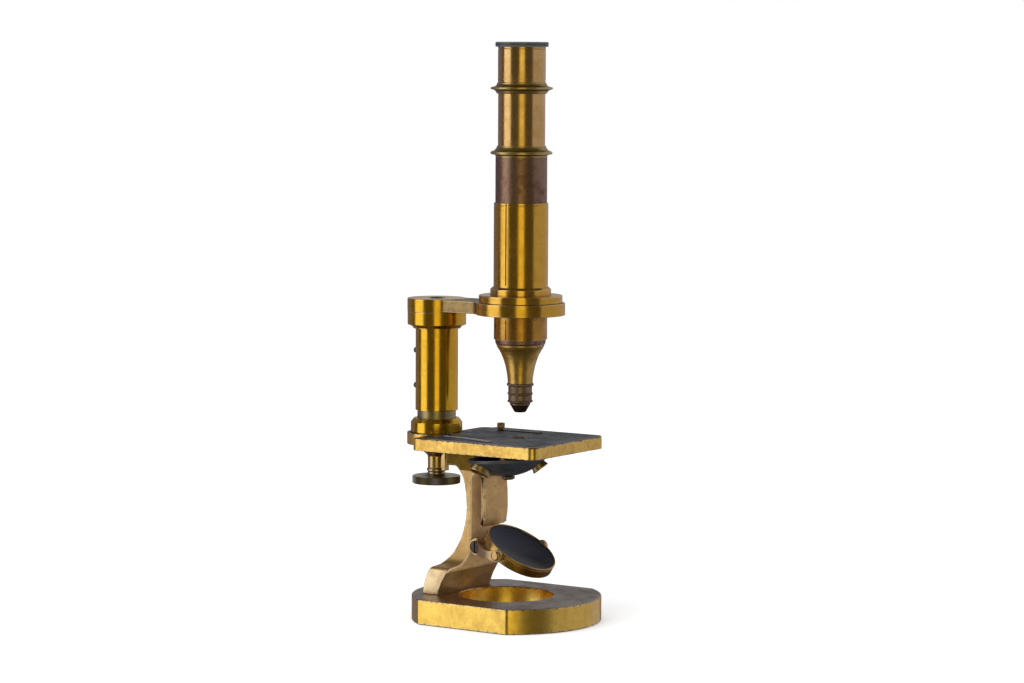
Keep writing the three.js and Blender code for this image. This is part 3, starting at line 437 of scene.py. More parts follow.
def surface(name, base, deep, worn, grime_and_shade, rough, metallic=1.0, mottle=0.5, specks=0.35, speck_size=1.0,
            lines=None, line_depth=0.5, seed=0, blotch=0.16, spot_colour=(0.05, 0.03, 0.015), chips=0.0):
    """A worn metal or lacquer: base tarnishes to deep and is rubbed to worn on its edges; its inner
    corners are darkened, a painted shade mixed with real dirt. lines is ROUND_TUBE or ROUND_COLUMN for
    marks turned about that axis, or a unit direction for marks brushed along it. chips eats dark nicks
    into the edges."""
    g = Graph(name)
    place = g.node("TexCoord").outputs["Object"]
    p = g.vector("ADD", g.vector("SCALE", place, scale=1 / MM), (seed * 17.3, seed * 7.1, seed * 3.7))
    real = g.vector("SCALE", place, scale=1 / MM)
    tone = g.noise(p, 0.045, 3.0, 0.55)
    blot = g.noise(p, blotch, 5.0, 0.62, distortion=0.6)
    fine = g.noise(p, 0.9 / speck_size, 3.0, 0.7)
    dots = g.noise(p, 2.1 / speck_size, 2.0, 0.5)
    micro = g.noise(p, 7.0, 2.0, 0.6)
    tarnish = g.ramp(g.add(g.times(tone, 0.45), g.times(blot, 0.55)), 0.40, 0.64)
    tarnish = g.times(tarnish, mottle)
    freckle = g.times(g.ramp(dots, 0.66, 0.74), g.ramp(fine, 0.5, 0.62))
    freckle = g.times(freckle, specks * 2.0, clamp=True)
    if isinstance(lines, tuple) and lines[0] == "z":
        parts = g.node("SeparateXYZ", {0: real})
        dx = g.less(parts.outputs[0], lines[1])
        dy = g.less(parts.outputs[1], lines[2])
        radius = g.math("SQRT", g.add(g.times(dx, dx), g.times(dy, dy)))
        around = g.node("CombineXYZ", {0: radius, 1: parts.outputs[2], 2: float(seed)}).outputs[0]
        wide = g.noise(around, 0.9, 3.0, 0.7)
        thin = g.noise(around, 4.2, 2.0, 0.6)
        marks = g.add(g.times(wide, 0.5), g.times(thin, 0.5))
    elif lines is not None:
        stretch = tuple(0.035 if abs(c) > 0.5 else 1.0 for c in lines)
        marks = g.noise(g.vector("MULTIPLY", p, stretch), 3.4, 3.0, 0.65)
    else:
        marks = g.noise(p, 2.6, 3.0, 0.6)
    scratch_place = g.node("Mapping", {"Vector": p, "Rotation": (0.5, 0.9, 0.4 + seed),
        "Scale": (0.06, 2.4, 2.4)}).outputs[0]
    scratch = g.ramp(g.noise(scratch_place, 1.0, 1.0, 0.4), 0.71, 0.76)
    colour = g.mix(tarnish, base, deep)
    colour = g.mix(freckle, colour, spot_colour)
    colour = g.mix(g.times(scratch, 0.35), colour, worn)
    colour = g.shade(colour, g.ramp(marks, 0.25, 0.75, 0.93, 1.05))
    edge = g.node("Attribute", attribute_name=EDGE).outputs["Fac"]
    ragged = g.times(g.less(blot, 0.5), 0.9)
    bright = g.ramp(g.add(edge, ragged), 0.15, 0.95)
    # painted shade with real dirt: faces in inner corners, where the edge mark is negative, are darkened
    dull = g.ramp(g.less(g.times(edge, -1.0), ragged), 0.2, 0.95)
    colour = g.mix(g.times(bright, 0.75), colour, worn)
    colour = g.mix(g.times(dull, 0.85), colour, grime_and_shade)
    if chips:
        chip = g.ramp(g.add(g.noise(p, 0.55, 4.0, 0.7), g.times(edge, 0.12)), 0.56, 0.64)
        chip = g.times(chip, g.ramp(edge, 0.02, 0.4))
        colour = g.mix(g.times(chip, chips), colour, grime_and_shade)
    r = g.add(g.times(tarnish, 0.16), rough)
    r = g.add(r, g.times(freckle, 0.25))
    r = g.add(r, g.times(dull, 0.25))
    r = g.add(r, g.times(g.less(marks, 0.5), 0.10))
    r = g.add(r, g.times(g.less(micro, 0.5), 0.08), clamp=True)
    height = g.times(marks, line_depth)
    height = g.add(height, g.times(micro, 0.4))
    height = g.less(height, g.times(freckle, 1.2))
    height = g.less(height, g.times(scratch, 0.6))
    bump = g.node("Bump", {"Height": height, "Strength": 0.35, "Distance": 0.00003}).outputs[0]
    shader = g.node("BsdfPrincipled", {"Base Color": colour, "Roughness": r, "Normal": bump,
        "Metallic": metallic, "Coat Weight": 0.0, "Coat Roughness": 0.25, "Specular IOR Level": 0.5})
    return g.finished(shader)


ROUND_TUBE = ("z", OPTIC.x, OPTIC.y)
ROUND_COLUMN = ("z", COLUMN.x, COLUMN.y)
WORN = (0.90, 0.64, 0.26)
# the dark colour of nicks and dirt, which inner corners also take as painted shade
GRIME_AND_CORNER_SHADE = (0.10, 0.055, 0.02)
GOLD = (0.74, 0.42, 0.055)

MAT = {
    "sleeve": surface("lacquer_gold_sleeve", GOLD, (0.62, 0.32, 0.03), WORN, GRIME_AND_CORNER_SHADE, 0.17,
        lines=ROUND_TUBE, mottle=0.6, specks=0.3, seed=1),
    "column": surface("lacquer_gold_column", (0.78, 0.44, 0.03), (0.66, 0.34, 0.02), WORN, GRIME_AND_CORNER_SHADE, 0.16,
        lines=ROUND_COLUMN, mottle=0.5, specks=0.35, seed=2),
    "draw": surface("pale_gold_draw_tube", (0.72, 0.45, 0.15), (0.58, 0.33, 0.08), WORN, GRIME_AND_CORNER_SHADE, 0.15,
        lines=ROUND_TUBE, mottle=0.7, specks=0.4, seed=3, line_depth=0.8),
    "olive_tube": surface("olive_brass_flange", (0.50, 0.36, 0.10), (0.34, 0.24, 0.07), WORN, GRIME_AND_CORNER_SHADE, 0.26,
        lines=ROUND_TUBE, mottle=0.8, specks=0.4, seed=4),
    "olive_column": surface("olive_brass_pillar", (0.42, 0.33, 0.13), (0.28, 0.22, 0.09), WORN, GRIME_AND_CORNER_SHADE,
        0.30, lines=ROUND_COLUMN, mottle=0.8, specks=0.4, seed=5),
    "patina": surface("brown_patina_tube", (0.31, 0.185, 0.105), (0.19, 0.10, 0.055), (0.55, 0.36, 0.2),
        (0.08, 0.04, 0.03), 0.34, lines=ROUND_TUBE, mottle=1.0, specks=0.7, seed=6, blotch=0.22,
        line_depth=0.8),
    "cone": surface("gold_nose_cone", (0.62, 0.38, 0.085), (0.38, 0.22, 0.05), WORN, GRIME_AND_CORNER_SHADE, 0.33,
        lines=ROUND_TUBE, mottle=1.0, specks=0.9, seed=7, blotch=0.3, speck_size=1.5),
    "cells": surface("brown_brass_cells", (0.30, 0.205, 0.125), (0.20, 0.13, 0.08), (0.52, 0.38, 0.22),
        GRIME_AND_CORNER_SHADE, 0.42, lines=ROUND_TUBE, mottle=0.9, specks=0.6, seed=8),
    "tip": surface("dark_objective_tip", (0.16, 0.12, 0.085), (0.09, 0.065, 0.045), (0.45, 0.32, 0.16),
        (0.03, 0.02, 0.015), 0.3, lines=ROUND_TUBE, mottle=0.8, specks=0.5, seed=9),
    "arm": surface("dull_lacquer_arm", (0.36, 0.24, 0.085), (0.21, 0.14, 0.05), (0.75, 0.54, 0.24), GRIME_AND_CORNER_SHADE,
        0.28, lines=(0, 1, 0), mottle=1.0, specks=0.7, seed=10, blotch=0.24),
    "base_side": surface("bright_brass_base_side", (0.92, 0.60, 0.105), (0.66, 0.38, 0.06),
        (0.95, 0.74, 0.34), (0.16, 0.09, 0.04), 0.27, lines=(0, 1, 0), mottle=0.55, specks=0.8, seed=11,
        line_depth=0.8, speck_size=1.3, blotch=0.2, chips=0.6),
    "base_top": surface("tarnished_base_top", (0.30, 0.225, 0.185), (0.22, 0.16, 0.13),
        (0.75, 0.52, 0.25), (0.07, 0.045, 0.03), 0.30, mottle=0.8, specks=0.4, seed=12, blotch=0.12,
        speck_size=1.4),
    "limb": surface("tan_brass_limb", (0.68, 0.425, 0.135), (0.50, 0.30, 0.10), (0.88, 0.66, 0.32),
        (0.12, 0.07, 0.035), 0.30, lines=(0, 0, 1), mottle=0.9, specks=1.6, seed=13, blotch=0.10,
        speck_size=2.3, metallic=0.85, chips=0.5),
    # painted light: a brighter, hardly metallic copy of the limb brass for the shaded slot wall and the
    # lit band of the front
    "slot": surface("painted_light_limb_slot", (0.82, 0.55, 0.25), (0.56, 0.36, 0.16), (0.92, 0.70, 0.38),
        (0.14, 0.08, 0.04), 0.34, lines=(0, 0, 1), mottle=0.8, specks=1.0, seed=28, blotch=0.12,
        speck_size=1.9, metallic=0.12),
    # painted shadow: the limb's head under the stage, darkened where the stage shades it
    "pad": surface("painted_shadow_limb_head", (0.12, 0.068, 0.008), (0.075, 0.042, 0.007), (0.34, 0.22, 0.07),
        (0.06, 0.035, 0.015), 0.30, lines=(0, 1, 0), mottle=0.8, specks=0.8, seed=29),
    # painted highlight: a lighter grey copy of the dark clip steel for the near clip
    "blade": surface("painted_highlight_clip_steel", (0.42, 0.40, 0.38), (0.28, 0.26, 0.24), (0.62, 0.60, 0.56),
        (0.05, 0.04, 0.03), 0.30, mottle=0.8, specks=0.6, seed=30),
    "ring": surface("rubbed_hole_collar", (0.62, 0.42, 0.16), (0.42, 0.27, 0.10), (0.85, 0.64, 0.34),
        GRIME_AND_CORNER_SHADE, 0.26, mottle=0.8, specks=0.6, seed=31),
    "sleeve_low": surface("brown_lacquer_sleeve_foot", (0.56, 0.29, 0.045), (0.40, 0.19, 0.035), WORN,
        GRIME_AND_CORNER_SHADE, 0.2, lines=ROUND_TUBE, mottle=0.9, specks=0.5, seed=32),
    # painted highlight: a brighter copy of the limb brass for the foot's ends
    "foot": surface("painted_highlight_brass_foot", (0.82, 0.62, 0.30), (0.62, 0.42, 0.18), (0.93, 0.74, 0.42),
        (0.14, 0.08, 0.04), 0.28, lines=(0, 1, 0), mottle=0.7, specks=0.9, seed=14, speck_size=1.5),
    "stage_side": surface("bright_brass_stage_side", (0.95, 0.62, 0.12), (0.68, 0.38, 0.08),
        (0.96, 0.76, 0.38), (0.16, 0.09, 0.04), 0.28, lines=(0, 1, 0), mottle=0.7, specks=1.4, seed=15,
        speck_size=1.2, blotch=0.35, chips=0.75),
    "stage_face": surface("dull_brass_stage_face", (0.20, 0.15, 0.11), (0.12, 0.09, 0.07),
        (0.6, 0.42, 0.2), (0.04, 0.03, 0.02), 0.38, mottle=0.9, specks=0.5, seed=16),
    "cover": surface("blackened_stage_cover", (0.070, 0.078, 0.090), (0.045, 0.050, 0.058),
        (0.30, 0.27, 0.22), (0.02, 0.02, 0.02), 0.42, metallic=0.55, mottle=0.9, specks=0.5, seed=17,
        blotch=0.1, speck_size=1.6, spot_colour=(0.16, 0.15, 0.13)),
    "dish": surface("blackened_diaphragm", (0.060, 0.066, 0.076), (0.034, 0.037, 0.043),
        (0.13, 0.12, 0.11), (0.015, 0.015, 0.015), 0.36, metallic=0.6, mottle=0.9, specks=0.4, seed=18),
    "cap": surface("black_eye_cap", (0.060, 0.064, 0.062), (0.040, 0.042, 0.040), (0.22, 0.22, 0.20),
        (0.015, 0.015, 0.015), 0.34, metallic=0.35, mottle=0.8, specks=0.4, seed=19, lines=ROUND_TUBE,
        spot_colour=(0.14, 0.13, 0.11)),
    "steel": surface("dark_screw_steel", (0.070, 0.056, 0.038), (0.040, 0.032, 0.022), (0.30, 0.24, 0.17),
        (0.02, 0.015, 0.012), 0.3, mottle=0.9, specks=0.5, seed=20),
    "spring": surface("spring_steel_wire", (0.5, 0.49, 0.47), (0.35, 0.33, 0.3), (0.7, 0.69, 0.66),
        (0.1, 0.08, 0.06), 0.3, mottle=0.6, specks=0.3, seed=21),
    "knob": surface("dark_brass_knob", (0.24, 0.20, 0.13), (0.15, 0.12, 0.08), (0.5, 0.4, 0.24),
        (0.035, 0.028, 0.02), 0.33, lines=ROUND_COLUMN, mottle=0.8, specks=0.5, seed=22),
    # painted light: a lighter copy of the knob's brass for its upward faces
    "knob_top": surface("painted_light_knob_top", (0.46, 0.39, 0.24), (0.30, 0.25, 0.16), (0.62, 0.52, 0.32),
        GRIME_AND_CORNER_SHADE, 0.28, lines=ROUND_COLUMN, mottle=0.6, specks=0.4, seed=27),
    "housing": surface("aged_gold_housing", (0.60, 0.40, 0.13), (0.42, 0.27, 0.10), WORN, GRIME_AND_CORNER_SHADE, 0.24,
        lines=ROUND_COLUMN, mottle=0.9, specks=0.6, seed=23),
    "fork": surface("tan_brass_fork", (0.58, 0.38, 0.16), (0.40, 0.25, 0.10), (0.84, 0.62, 0.30), GRIME_AND_CORNER_SHADE,
        0.27, lines=(0, 1, 0), mottle=0.9, specks=0.8, seed=24),
    "block": surface("greenish_slide_block", (0.30, 0.27, 0.18), (0.2, 0.17, 0.11), (0.6, 0.46, 0.24),
        (0.05, 0.04, 0.03), 0.36, mottle=0.9, specks=0.6, seed=25),
    "mirror_cell": surface("gold_mirror_cell", (0.72, 0.43, 0.09), (0.50, 0.28, 0.06), (0.62, 0.42, 0.2),
        GRIME_AND_CORNER_SHADE, 0.2, mottle=0.8, specks=0.5, seed=26),
    "gold": surface("small_gold_parts", (0.66, 0.43, 0.13), (0.45, 0.28, 0.08), WORN, GRIME_AND_CORNER_SHADE, 0.26,
        mottle=0.8, specks=0.5, seed=27),
}


def mirror_material():
    g = Graph("silvered_mirror_glass")
    p = g.vector("SCALE", g.node("TexCoord").outputs["Object"], scale=1 / MM)
    haze = g.ramp(g.noise(p, 0.09, 4.0, 0.6, distortion=0.4), 0.4, 0.7)
    dust = g.ramp(g.noise(p, 1.8, 2.0, 0.5), 0.68, 0.76)
    colour = g.mix(haze, (0.007, 0.008, 0.012), (0.014, 0.015, 0.021))
    colour = g.mix(g.times(dust, 0.5), colour, (0.12, 0.12, 0.13))
    rough = g.add(g.times(haze, 0.10), 0.22)
    rough = g.add(rough, g.times(dust, 0.3))
    bump = g.node("Bump", {"Height": dust, "Strength": 0.2, "Distance": 0.00002}).outputs[0]
    shader = g.node("BsdfPrincipled", {"Base Color": colour, "Roughness": rough, "Normal": bump,
        "Metallic": 0.0, "Specular IOR Level": 0.13})
    return g.finished(shader)


def glass_material():
    g = Graph("lens_glass")
    p = g.vector("SCALE", g.node("TexCoord").outputs["Object"], scale=1 / MM)
    haze = g.ramp(g.noise(p, 0.5, 3.0, 0.6), 0.35, 0.7)
    colour = g.mix(haze, (0.92, 0.96, 0.97), (0.80, 0.86, 0.86))
    rough = g.ramp(haze, 0.0, 1.0, 0.02, 0.09)
    bump = g.node("Bump", {"Height": haze, "Strength": 0.05, "Distance": 0.00001}).outputs[0]
    shader = g.node("BsdfPrincipled", {"Base Color": colour, "Roughness": rough, "Normal": bump,
        "Transmission Weight": 0.95, "IOR": 1.5})
    return g.finished(shader)


MAT["mirror"] = mirror_material()
MAT["glass"] = glass_material()


# ---- base -----------------------------------------------------------------------------
base = Spot("base_plate")
BASE_HOLE = 23.7
flat_angle = math.degrees(math.acos(base.r / base.ry))
rim = (arc(base.x, base.y, base.ry, flat_angle, 180 - flat_angle, 48)
    + arc(base.x, base.y, base.ry, 180 + flat_angle, 360 - flat_angle, 48))


def base_face(face):
    return 1 if abs(face.normal.z) > 0.85 else 0


foot_screws = [Spot("foot_screw_left"), Spot("foot_screw_right")]
SCREW_ROOM = 0.3
put(plate("base", rim, [circle(base.x, base.y, BASE_HOLE, 96)]
    + [circle(s.x, s.y, s.r + SCREW_ROOM, 32) for s in foot_screws], base.lo, base.hi,
    "base_side base_top", fillet=0.45, support=0.7, pick=base_face), "stand", "worn_brass", "base_plate")

# ---- limb -----------------------------------------------------------------------------
FOOT_TOP = base.hi + 14.0
FOOT_HALF, WAIST, SHOULDER, SWEEP_X, SWEEP = 23.5, 10.5, 2.5, 16.5, 6.0
# (y from the base's middle, z) down to up along the casting's front and its rear
FRONT = [(25.8, 12.3), (24.3, 16.6), (22.6, 19.8), (20.9, 22.6), (17.2, 29.5), (13.0, 37.3), (9.4, 44.0),
    (7.1, 48.6), (6.4, 52.0), (6.2, 56.0), (6.3, 62.0), (6.6, 67.0), (7.0, 71.2), (9.0, 73.2),
    (12.6, 75.0), (12.6, 85.2)]
REAR = [(35.1, 12.3), (34.5, 16.5), (33.3, 20.0), (31.8, 24.2), (30.0, 27.0), (27.2, 30.3), (24.6, 33.5),
    (22.4, 37.0), (20.6, 40.5), (19.2, 44.5), (18.0, 49.5), (17.5, 55.7), (17.8, 61.0), (18.6, 66.7),
    (19.7, 70.4), (21.1, 73.0), (22.7, 75.0), (24.2, 76.2), (30.0, 76.2), (30.0, 85.2)]
SLOT_FRONT, SLOT_REAR, SLOT_TOP, SLOT_ROUND = 8.6, 14.6, 73.0, 3.0
# where the casting's painted light and shade change: the foot's sides get a painted highlight, the head a
# painted shadow and the lit band of the front painted light
FOOT_SIDE, HEAD_FROM, FRONT_LIT = 20.0, 74.4, (22.5, 40.5)


def smooth(points, sub=4, corners=()):
    """A Catmull-Rom curve through the points, kept straight beside the given corner indices."""
    out = []
    for i in range(len(points) - 1):
        p1, p2 = Vector(points[i]), Vector(points[i + 1])
        p0 = Vector(points[i - 1]) if i > 0 and i not in corners else p1 * 2 - p2
        p3 = Vector(points[i + 2]) if i + 2 < len(points) and i + 1 not in corners else p2 * 2 - p1
        for k in range(sub):
            t = k / sub
            q = (p1 * 2 + (p2 - p0) * t + (p0 * 2 - p1 * 5 + p2 * 4 - p3) * t * t
                + (p1 * 3 - p0 - p2 * 3 + p3) * t ** 3) / 2
            out.append((q.x, q.y))
    out.append(tuple(points[-1]))
    return out


def at_height(curve, z):
    for (a0, b0), (a1, b1) in zip(curve, curve[1:]):
        if b0 <= z <= b1 and b1 > b0:
            return a0 + (a1 - a0) * (z - b0) / (b1 - b0)
    return curve[0][0] if z < curve[0][1] else curve[-1][0]


def limb_piece():
    shift = base.y
    front = [(y + shift, z) for y, z in smooth(FRONT, 4, corners=(14,))]
    rear = [(y + shift, z) for y, z in smooth(REAR, 4, corners=(17, 18))]
    slot_front, slot_rear = SLOT_FRONT + shift, SLOT_REAR + shift
    # the flare seen from the front: half width, height and the outward normal (x, z)
    flare = [(FOOT_HALF, base.hi, 1.0, 0.0), (FOOT_HALF, base.hi + 6, 1.0, 0.0)]
    for k in range(7):
        a = math.radians(15 * k)
        flare.append((FOOT_HALF - SHOULDER + SHOULDER * math.cos(a),
            FOOT_TOP - SHOULDER + SHOULDER * math.sin(a), math.cos(a), math.sin(a)))
    for k in range(9):
        a = math.radians(90 * k / 8)
        flare.append((SWEEP_X - SWEEP * math.sin(a), FOOT_TOP + 0.4 + SWEEP - SWEEP * math.cos(a),
            math.sin(a), math.cos(a)))
    levels = [(at_height(front, z), at_height(rear, z), w, z, nx, nz) for w, z, nx, nz in flare]
    top_z = levels[-1][3]
    above = []
    slot_done = False
    for y, z in front:
        if z <= top_z + 0.3:
            continue
        if not slot_done and y <= slot_rear:
            low = next(zz for yy, zz in front if yy <= slot_front - 0.35)
            above += [(slot_rear, z), (slot_rear, (z + SLOT_TOP - SLOT_ROUND) / 2)]
            above += arc((slot_front + slot_rear) / 2, SLOT_TOP - SLOT_ROUND, SLOT_ROUND, 0, 180, 10)
            above += [(slot_front, (low + SLOT_TOP) / 2), (slot_front, low + 0.5)]
            above.append((slot_front - 0.15, low + 0.15))
            slot_done = True
            continue
        if slot_done and y > slot_front - 0.35 and z < SLOT_TOP - 12:
            continue
        above.append((y, z))
    back = [(y, z) for y, z in rear if z > top_z + 0.3][::-1]
    beside = [(w, nx, nz) for _, _, w, _, nx, nz in levels]
    lift = beside + [(WAIST, 1.0, 0.0)] * len(above + back) + beside[::-1]
    front_low = [(yf, z) for yf, _, _, z, _, _ in levels]
    rear_low = [(yr, z) for _, yr, _, z, _, _ in levels]
    points = [Vector(q) for q in front_low + above + back + rear_low[::-1]]
    sign = winding(points)
    fillet, support = 0.55, 0.8
    offsets = edge_offsets(fillet, support, 3) + [(0.0, fillet + support, 0.0)]
    bm = bmesh.new()
    layer = bm.verts.layers.float.new(EDGE)
    count, low_count = len(points), len(levels)
    sides = []
    for sx in (1, -1):
        rows = []
        for inward, down, mark in offsets:
            row = []
            for q, p, (w, nx, nz) in zip(inset_loop(points, inward, sign), points, lift):
                z = (p.y if nz > 0.3 else q.y) - down * nz
                v = bm.verts.new((sx * (w - down * nx), q.x, z))
                v[layer] = mark
                row.append(v)
            rows.append(row)
        sides.append(rows)
    rows = sides[0] + sides[1][::-1]
    for r0, r1 in zip(rows, rows[1:]):
        for k in range(count):
            n = (k + 1) % count
            bm.faces.new((r0[k], r0[n], r1[n], r1[k]))
    for rows in sides:
        cap = rows[0]
        for k in range(low_count - 1):
            bm.faces.new((cap[k], cap[k + 1], cap[count - 2 - k], cap[count - 1 - k]))
        upper = list(range(low_count - 1, count - low_count + 1))
        flat = inset_loop(points, offsets[0][0], sign)
        for a, b, c in tessellate_polygon([[Vector((flat[i].x, flat[i].y, 0)) for i in upper]]):
            if len({a, b, c}) == 3:
                bm.faces.new((cap[upper[a]], cap[upper[b]], cap[upper[c]]))

    def pick(face):
        c = face.calc_center_median() / MM
        # the foot's ends, chosen by their facing, take the painted highlight copy
        if c.z < FOOT_TOP - 1.2 and abs(face.normal.x) > 0.8 and abs(c.x) > FOOT_SIDE:
            return 1
        # the head under the stage takes the painted shadow copy
        if c.z > HEAD_FROM:
            return 3
        # the slot's rear wall and the lit band of the front take the painted light copy
        in_slot = slot_front - 0.3 < c.y < slot_rear + 0.3 and c.z < SLOT_TOP
        on_lit_band = FRONT_LIT[0] < c.z < FRONT_LIT[1]
        return 2 if face.normal.y < -0.3 and (in_slot or on_lit_band) else 0

    return to_object("limb_casting", bm, "limb foot slot pad", pick=pick)


put(limb_piece(), "stand", "tan_brass", "limb")

for side in ("left", "right"):
    s = Spot("foot_screw_" + side)
    screw = turned("foot_screw_head_" + side,
        [(0, s.lo), (s.r, s.lo, 0.5), (s.r, s.lo + 2.2, 0.15), (1.8, s.lo + 2.2, 0.1), (1.8, s.hi, 0.2),
        (0, s.hi)], "steel", s, segments=48)
    carve(screw, (s.x - 5, s.y - 0.5, s.lo - 1), (s.x + 5, s.y + 0.5, s.lo + 0.8))
    put(screw, "stand", "dark_steel", "foot_screw_" + side)

# ---- stage ----------------------------------------------------------------------------
stage = Spot("stage_plate")
cover = Spot("stage_cover")
TONGUE = 14.9
STAGE_REAR = CENTRE_Y + 36.4
CORNER = 4.0


def stage_outline():
    half, front, rear = stage.r, stage.y0, STAGE_REAR
    reach = math.degrees(math.asin((rear - COLUMN.y) / TONGUE))
    return (arc(half - CORNER, front + CORNER, CORNER, -90, 0, 8)
        + arc(half - CORNER, rear - CORNER, CORNER, 0, 90, 8)
        + arc(COLUMN.x, COLUMN.y, TONGUE, reach, 180 - reach, 28)
        + arc(-half + CORNER, rear - CORNER, CORNER, 90, 180, 8)
        + arc(-half + CORNER, front + CORNER, CORNER, 180, 270, 8))


PAINTED_SHADE_HOLE_WALL = 8.0  # nearer to the optical axis than this, a face is the light hole's wall, painted dark as its shade


def stage_pick(face):
    c = face.calc_center_median() / MM
    # the hole's wall takes the dark tip material as painted shade in the recess
    return 2 if math.hypot(c.x - OPTIC.x, c.y - OPTIC.y) < PAINTED_SHADE_HOLE_WALL else base_face(face)


LIGHT_HOLE, COVER_HOLE, SCREW_HOLE, CLIP_HOLE, HEAD_ROOM = 5.2, 5.6, 1.2, 1.35, 0.25
clip_spots = {side: Spot("clip_screw_" + side) for side in ("left", "right")}
head_spots = {side: Spot("head_screw_" + side) for side in ("left", "right")}
put(plate("stage", stage_outline(), [circle(OPTIC.x, OPTIC.y, LIGHT_HOLE, 64)]
    + [circle(s.x, s.y, SCREW_HOLE, 24) for s in (*clip_spots.values(), *head_spots.values())], stage.lo,
    stage.hi, "stage_side stage_face tip", fillet=0.3, support=0.5, pick=stage_pick), "stand",
    "worn_brass", "stage_plate")
put(plate("stage_blackening", round_rect(cover.x0, cover.x1, cover.y0, cover.y1, CORNER - 0.35, 8),
    [circle(OPTIC.x, OPTIC.y, COVER_HOLE, 64)]
    + [circle(s.x, s.y, CLIP_HOLE, 24) for s in clip_spots.values()]
    + [circle(s.x, s.y, s.r + HEAD_ROOM, 32) for s in head_spots.values()], cover.lo, cover.hi, "cover",
    fillet=0.18, support=0.5), "stand", "blackened_cover", "stage_cover")
for side, s in head_spots.items():
    screw = turned("head_screw_top_" + side, [(0, s.lo), (1.1, s.lo, 0.2), (1.1, stage.hi, 0.05),
        (s.r, stage.hi, 0.05), (s.r, s.hi, 0.2), (0, s.hi)], "steel", s, segments=40)
    slot_cut(screw, s, 3, 0.28, 0.32)
    put(screw, "stand", "dark_steel", "head_screw_" + side)

# ---- stage clips ----------------------------------------------------------------------
HALF_ROOT, HALF_NECK, HALF_WAIST, HALF_TIP, NECK_AT = 2.0, 1.35, 1.25, 1.5, 4.0
CLIP_TIPS = {"left": (-26.0, -7.5), "right": (21.0, -7.0)}
for side, s in clip_spots.items():
    blade = Spot("clip_blade_" + side)
    root = Vector((s.x, s.y))
    tip = Vector((CLIP_TIPS[side][0], CLIP_TIPS[side][1] + CENTRE_Y))
    along = (tip - root).normalized()
    across = Vector((-along.y, along.x))
    length = (tip - root).length
    turn = math.degrees(math.atan2(along.y, along.x))
    neck = [tuple(root + along * NECK_AT + across * HALF_NECK * w) for w in (-1, 1)]
    waist = [tuple(root + along * length * 0.5 + across * HALF_WAIST * w) for w in (-1, 1)]
    end = root + along * (length - HALF_TIP)
    outline = (arc(root.x, root.y, HALF_ROOT, turn + 55, turn + 305, 16)
        + [neck[0], waist[0]] + arc(end.x, end.y, HALF_TIP, turn - 80, turn + 80, 10)
        + [waist[1], neck[1]])
    # the near, left clip takes the painted highlight copy; the right one the dark steel
    put(plate("clip_spring_" + side, outline, [circle(s.x, s.y, 1.22, 24)], blade.lo, blade.hi,
        "blade" if side == "left" else "steel", fillet=0.1, support=0.25, steps=2), "clip_" + side,
        "dark_steel", "clip_blade_" + side)
    if side == "left":
        button = turned("clip_button_left", [(0, s.lo), (1.0, s.lo, 0.2), (1.0, blade.hi + 0.05, 0.05),
            (s.r, blade.hi + 0.05, 0.15), (s.r, s.hi, 0.35), (0, s.hi)], "steel", s, segments=48)
        slot_cut(button, s, 4, 0.3, 0.42)
    else:
        low = blade.hi + 0.05
        button = turned("clip_button_right", [(0, s.lo), (1.0, s.lo, 0.2), (1.0, low, 0.05),
            (1.5, low, 0.15), (1.5, low + 0.8, 0.2), (s.r, low + 0.95, 0.2), (s.r, s.hi - 0.15, 0.25),
            (1.4, s.hi, 0.3), (0, s.hi - 0.05)], "gold", s, teeth=22, bite=0.16,
            band=(s.r - 0.05, low + 1.1, s.hi - 0.3))
    put(button, "stand", "dark_steel" if side == "left" else "lacquered_brass", "clip_screw_" + side)

# ---- pillar and fine focus ------------------------------------------------------------
pillar = Spot("pillar")
shaft = turned("pillar_post", [(2.7, pillar.lo, 0.2), (pillar.r, pillar.lo, 0.2),
    (pillar.r, pillar.hi, 0.5), (6.0, pillar.hi, 0.3), (6.0, pillar.lo + 4.0, 0.3),
    (2.7, pillar.lo + 4.0, 0.2)], "olive_column", COLUMN)
carve(shaft, (-1.3, COLUMN.y + pillar.r - 2.2, pillar.lo + 16.8),
    (1.3, COLUMN.y + pillar.r + 1, pillar.hi - 1))
put(shaft, "stand", "olive_brass", "pillar")
collar = Spot("pillar_collar")
put(turned("pillar_foot_collar", raised(collar.lo, (pillar.r + 0.15, 0, 0.1), (collar.r, 0, 0.2),
    (collar.r, 5.2, 0.2)) + raised(collar.hi, (11.4, 0, 0.3), (pillar.r + 0.15, 0, 0.2)), "column",
    COLUMN, segments=112), "stand", "lacquered_brass", "pillar_collar")
sleeve = Spot("column_sleeve")
put(turned("column_tube", pipe(sleeve, 10.05, 0.15, 0.25, 0.1, 0.1), "column", COLUMN, segments=112),
    "focus_arm", "lacquered_brass", "column_sleeve")
flange = Spot("column_flange")
put(turned("column_head", raised(flange.lo, (0, 9), (2.5, 9), (2.5, 0, 0.2), (5.4, 0, 0.3))
    + raised(sleeve.hi, (5.4, 0, 0.1), (12.0, 0, 0.15), (12.05, 0.5, 0.2), (13.4, 1.7, 0.5),
    (14.3, 1.75, 0.1), (flange.r, 2.2, 0.3)) + raised(flange.hi, (flange.r, -0.05, 0.3), (0, 0)),
    "column", COLUMN, segments=112), "focus_arm", "lacquered_brass", "column_flange")


def lying(x, y, z, turn_axis, angle):
    """What lays a piece turned about z along another axis, with its end at (x, y, z)."""
    return Matrix.Translation((x, y, z)) @ Matrix.Rotation(math.radians(angle), 4, turn_axis)


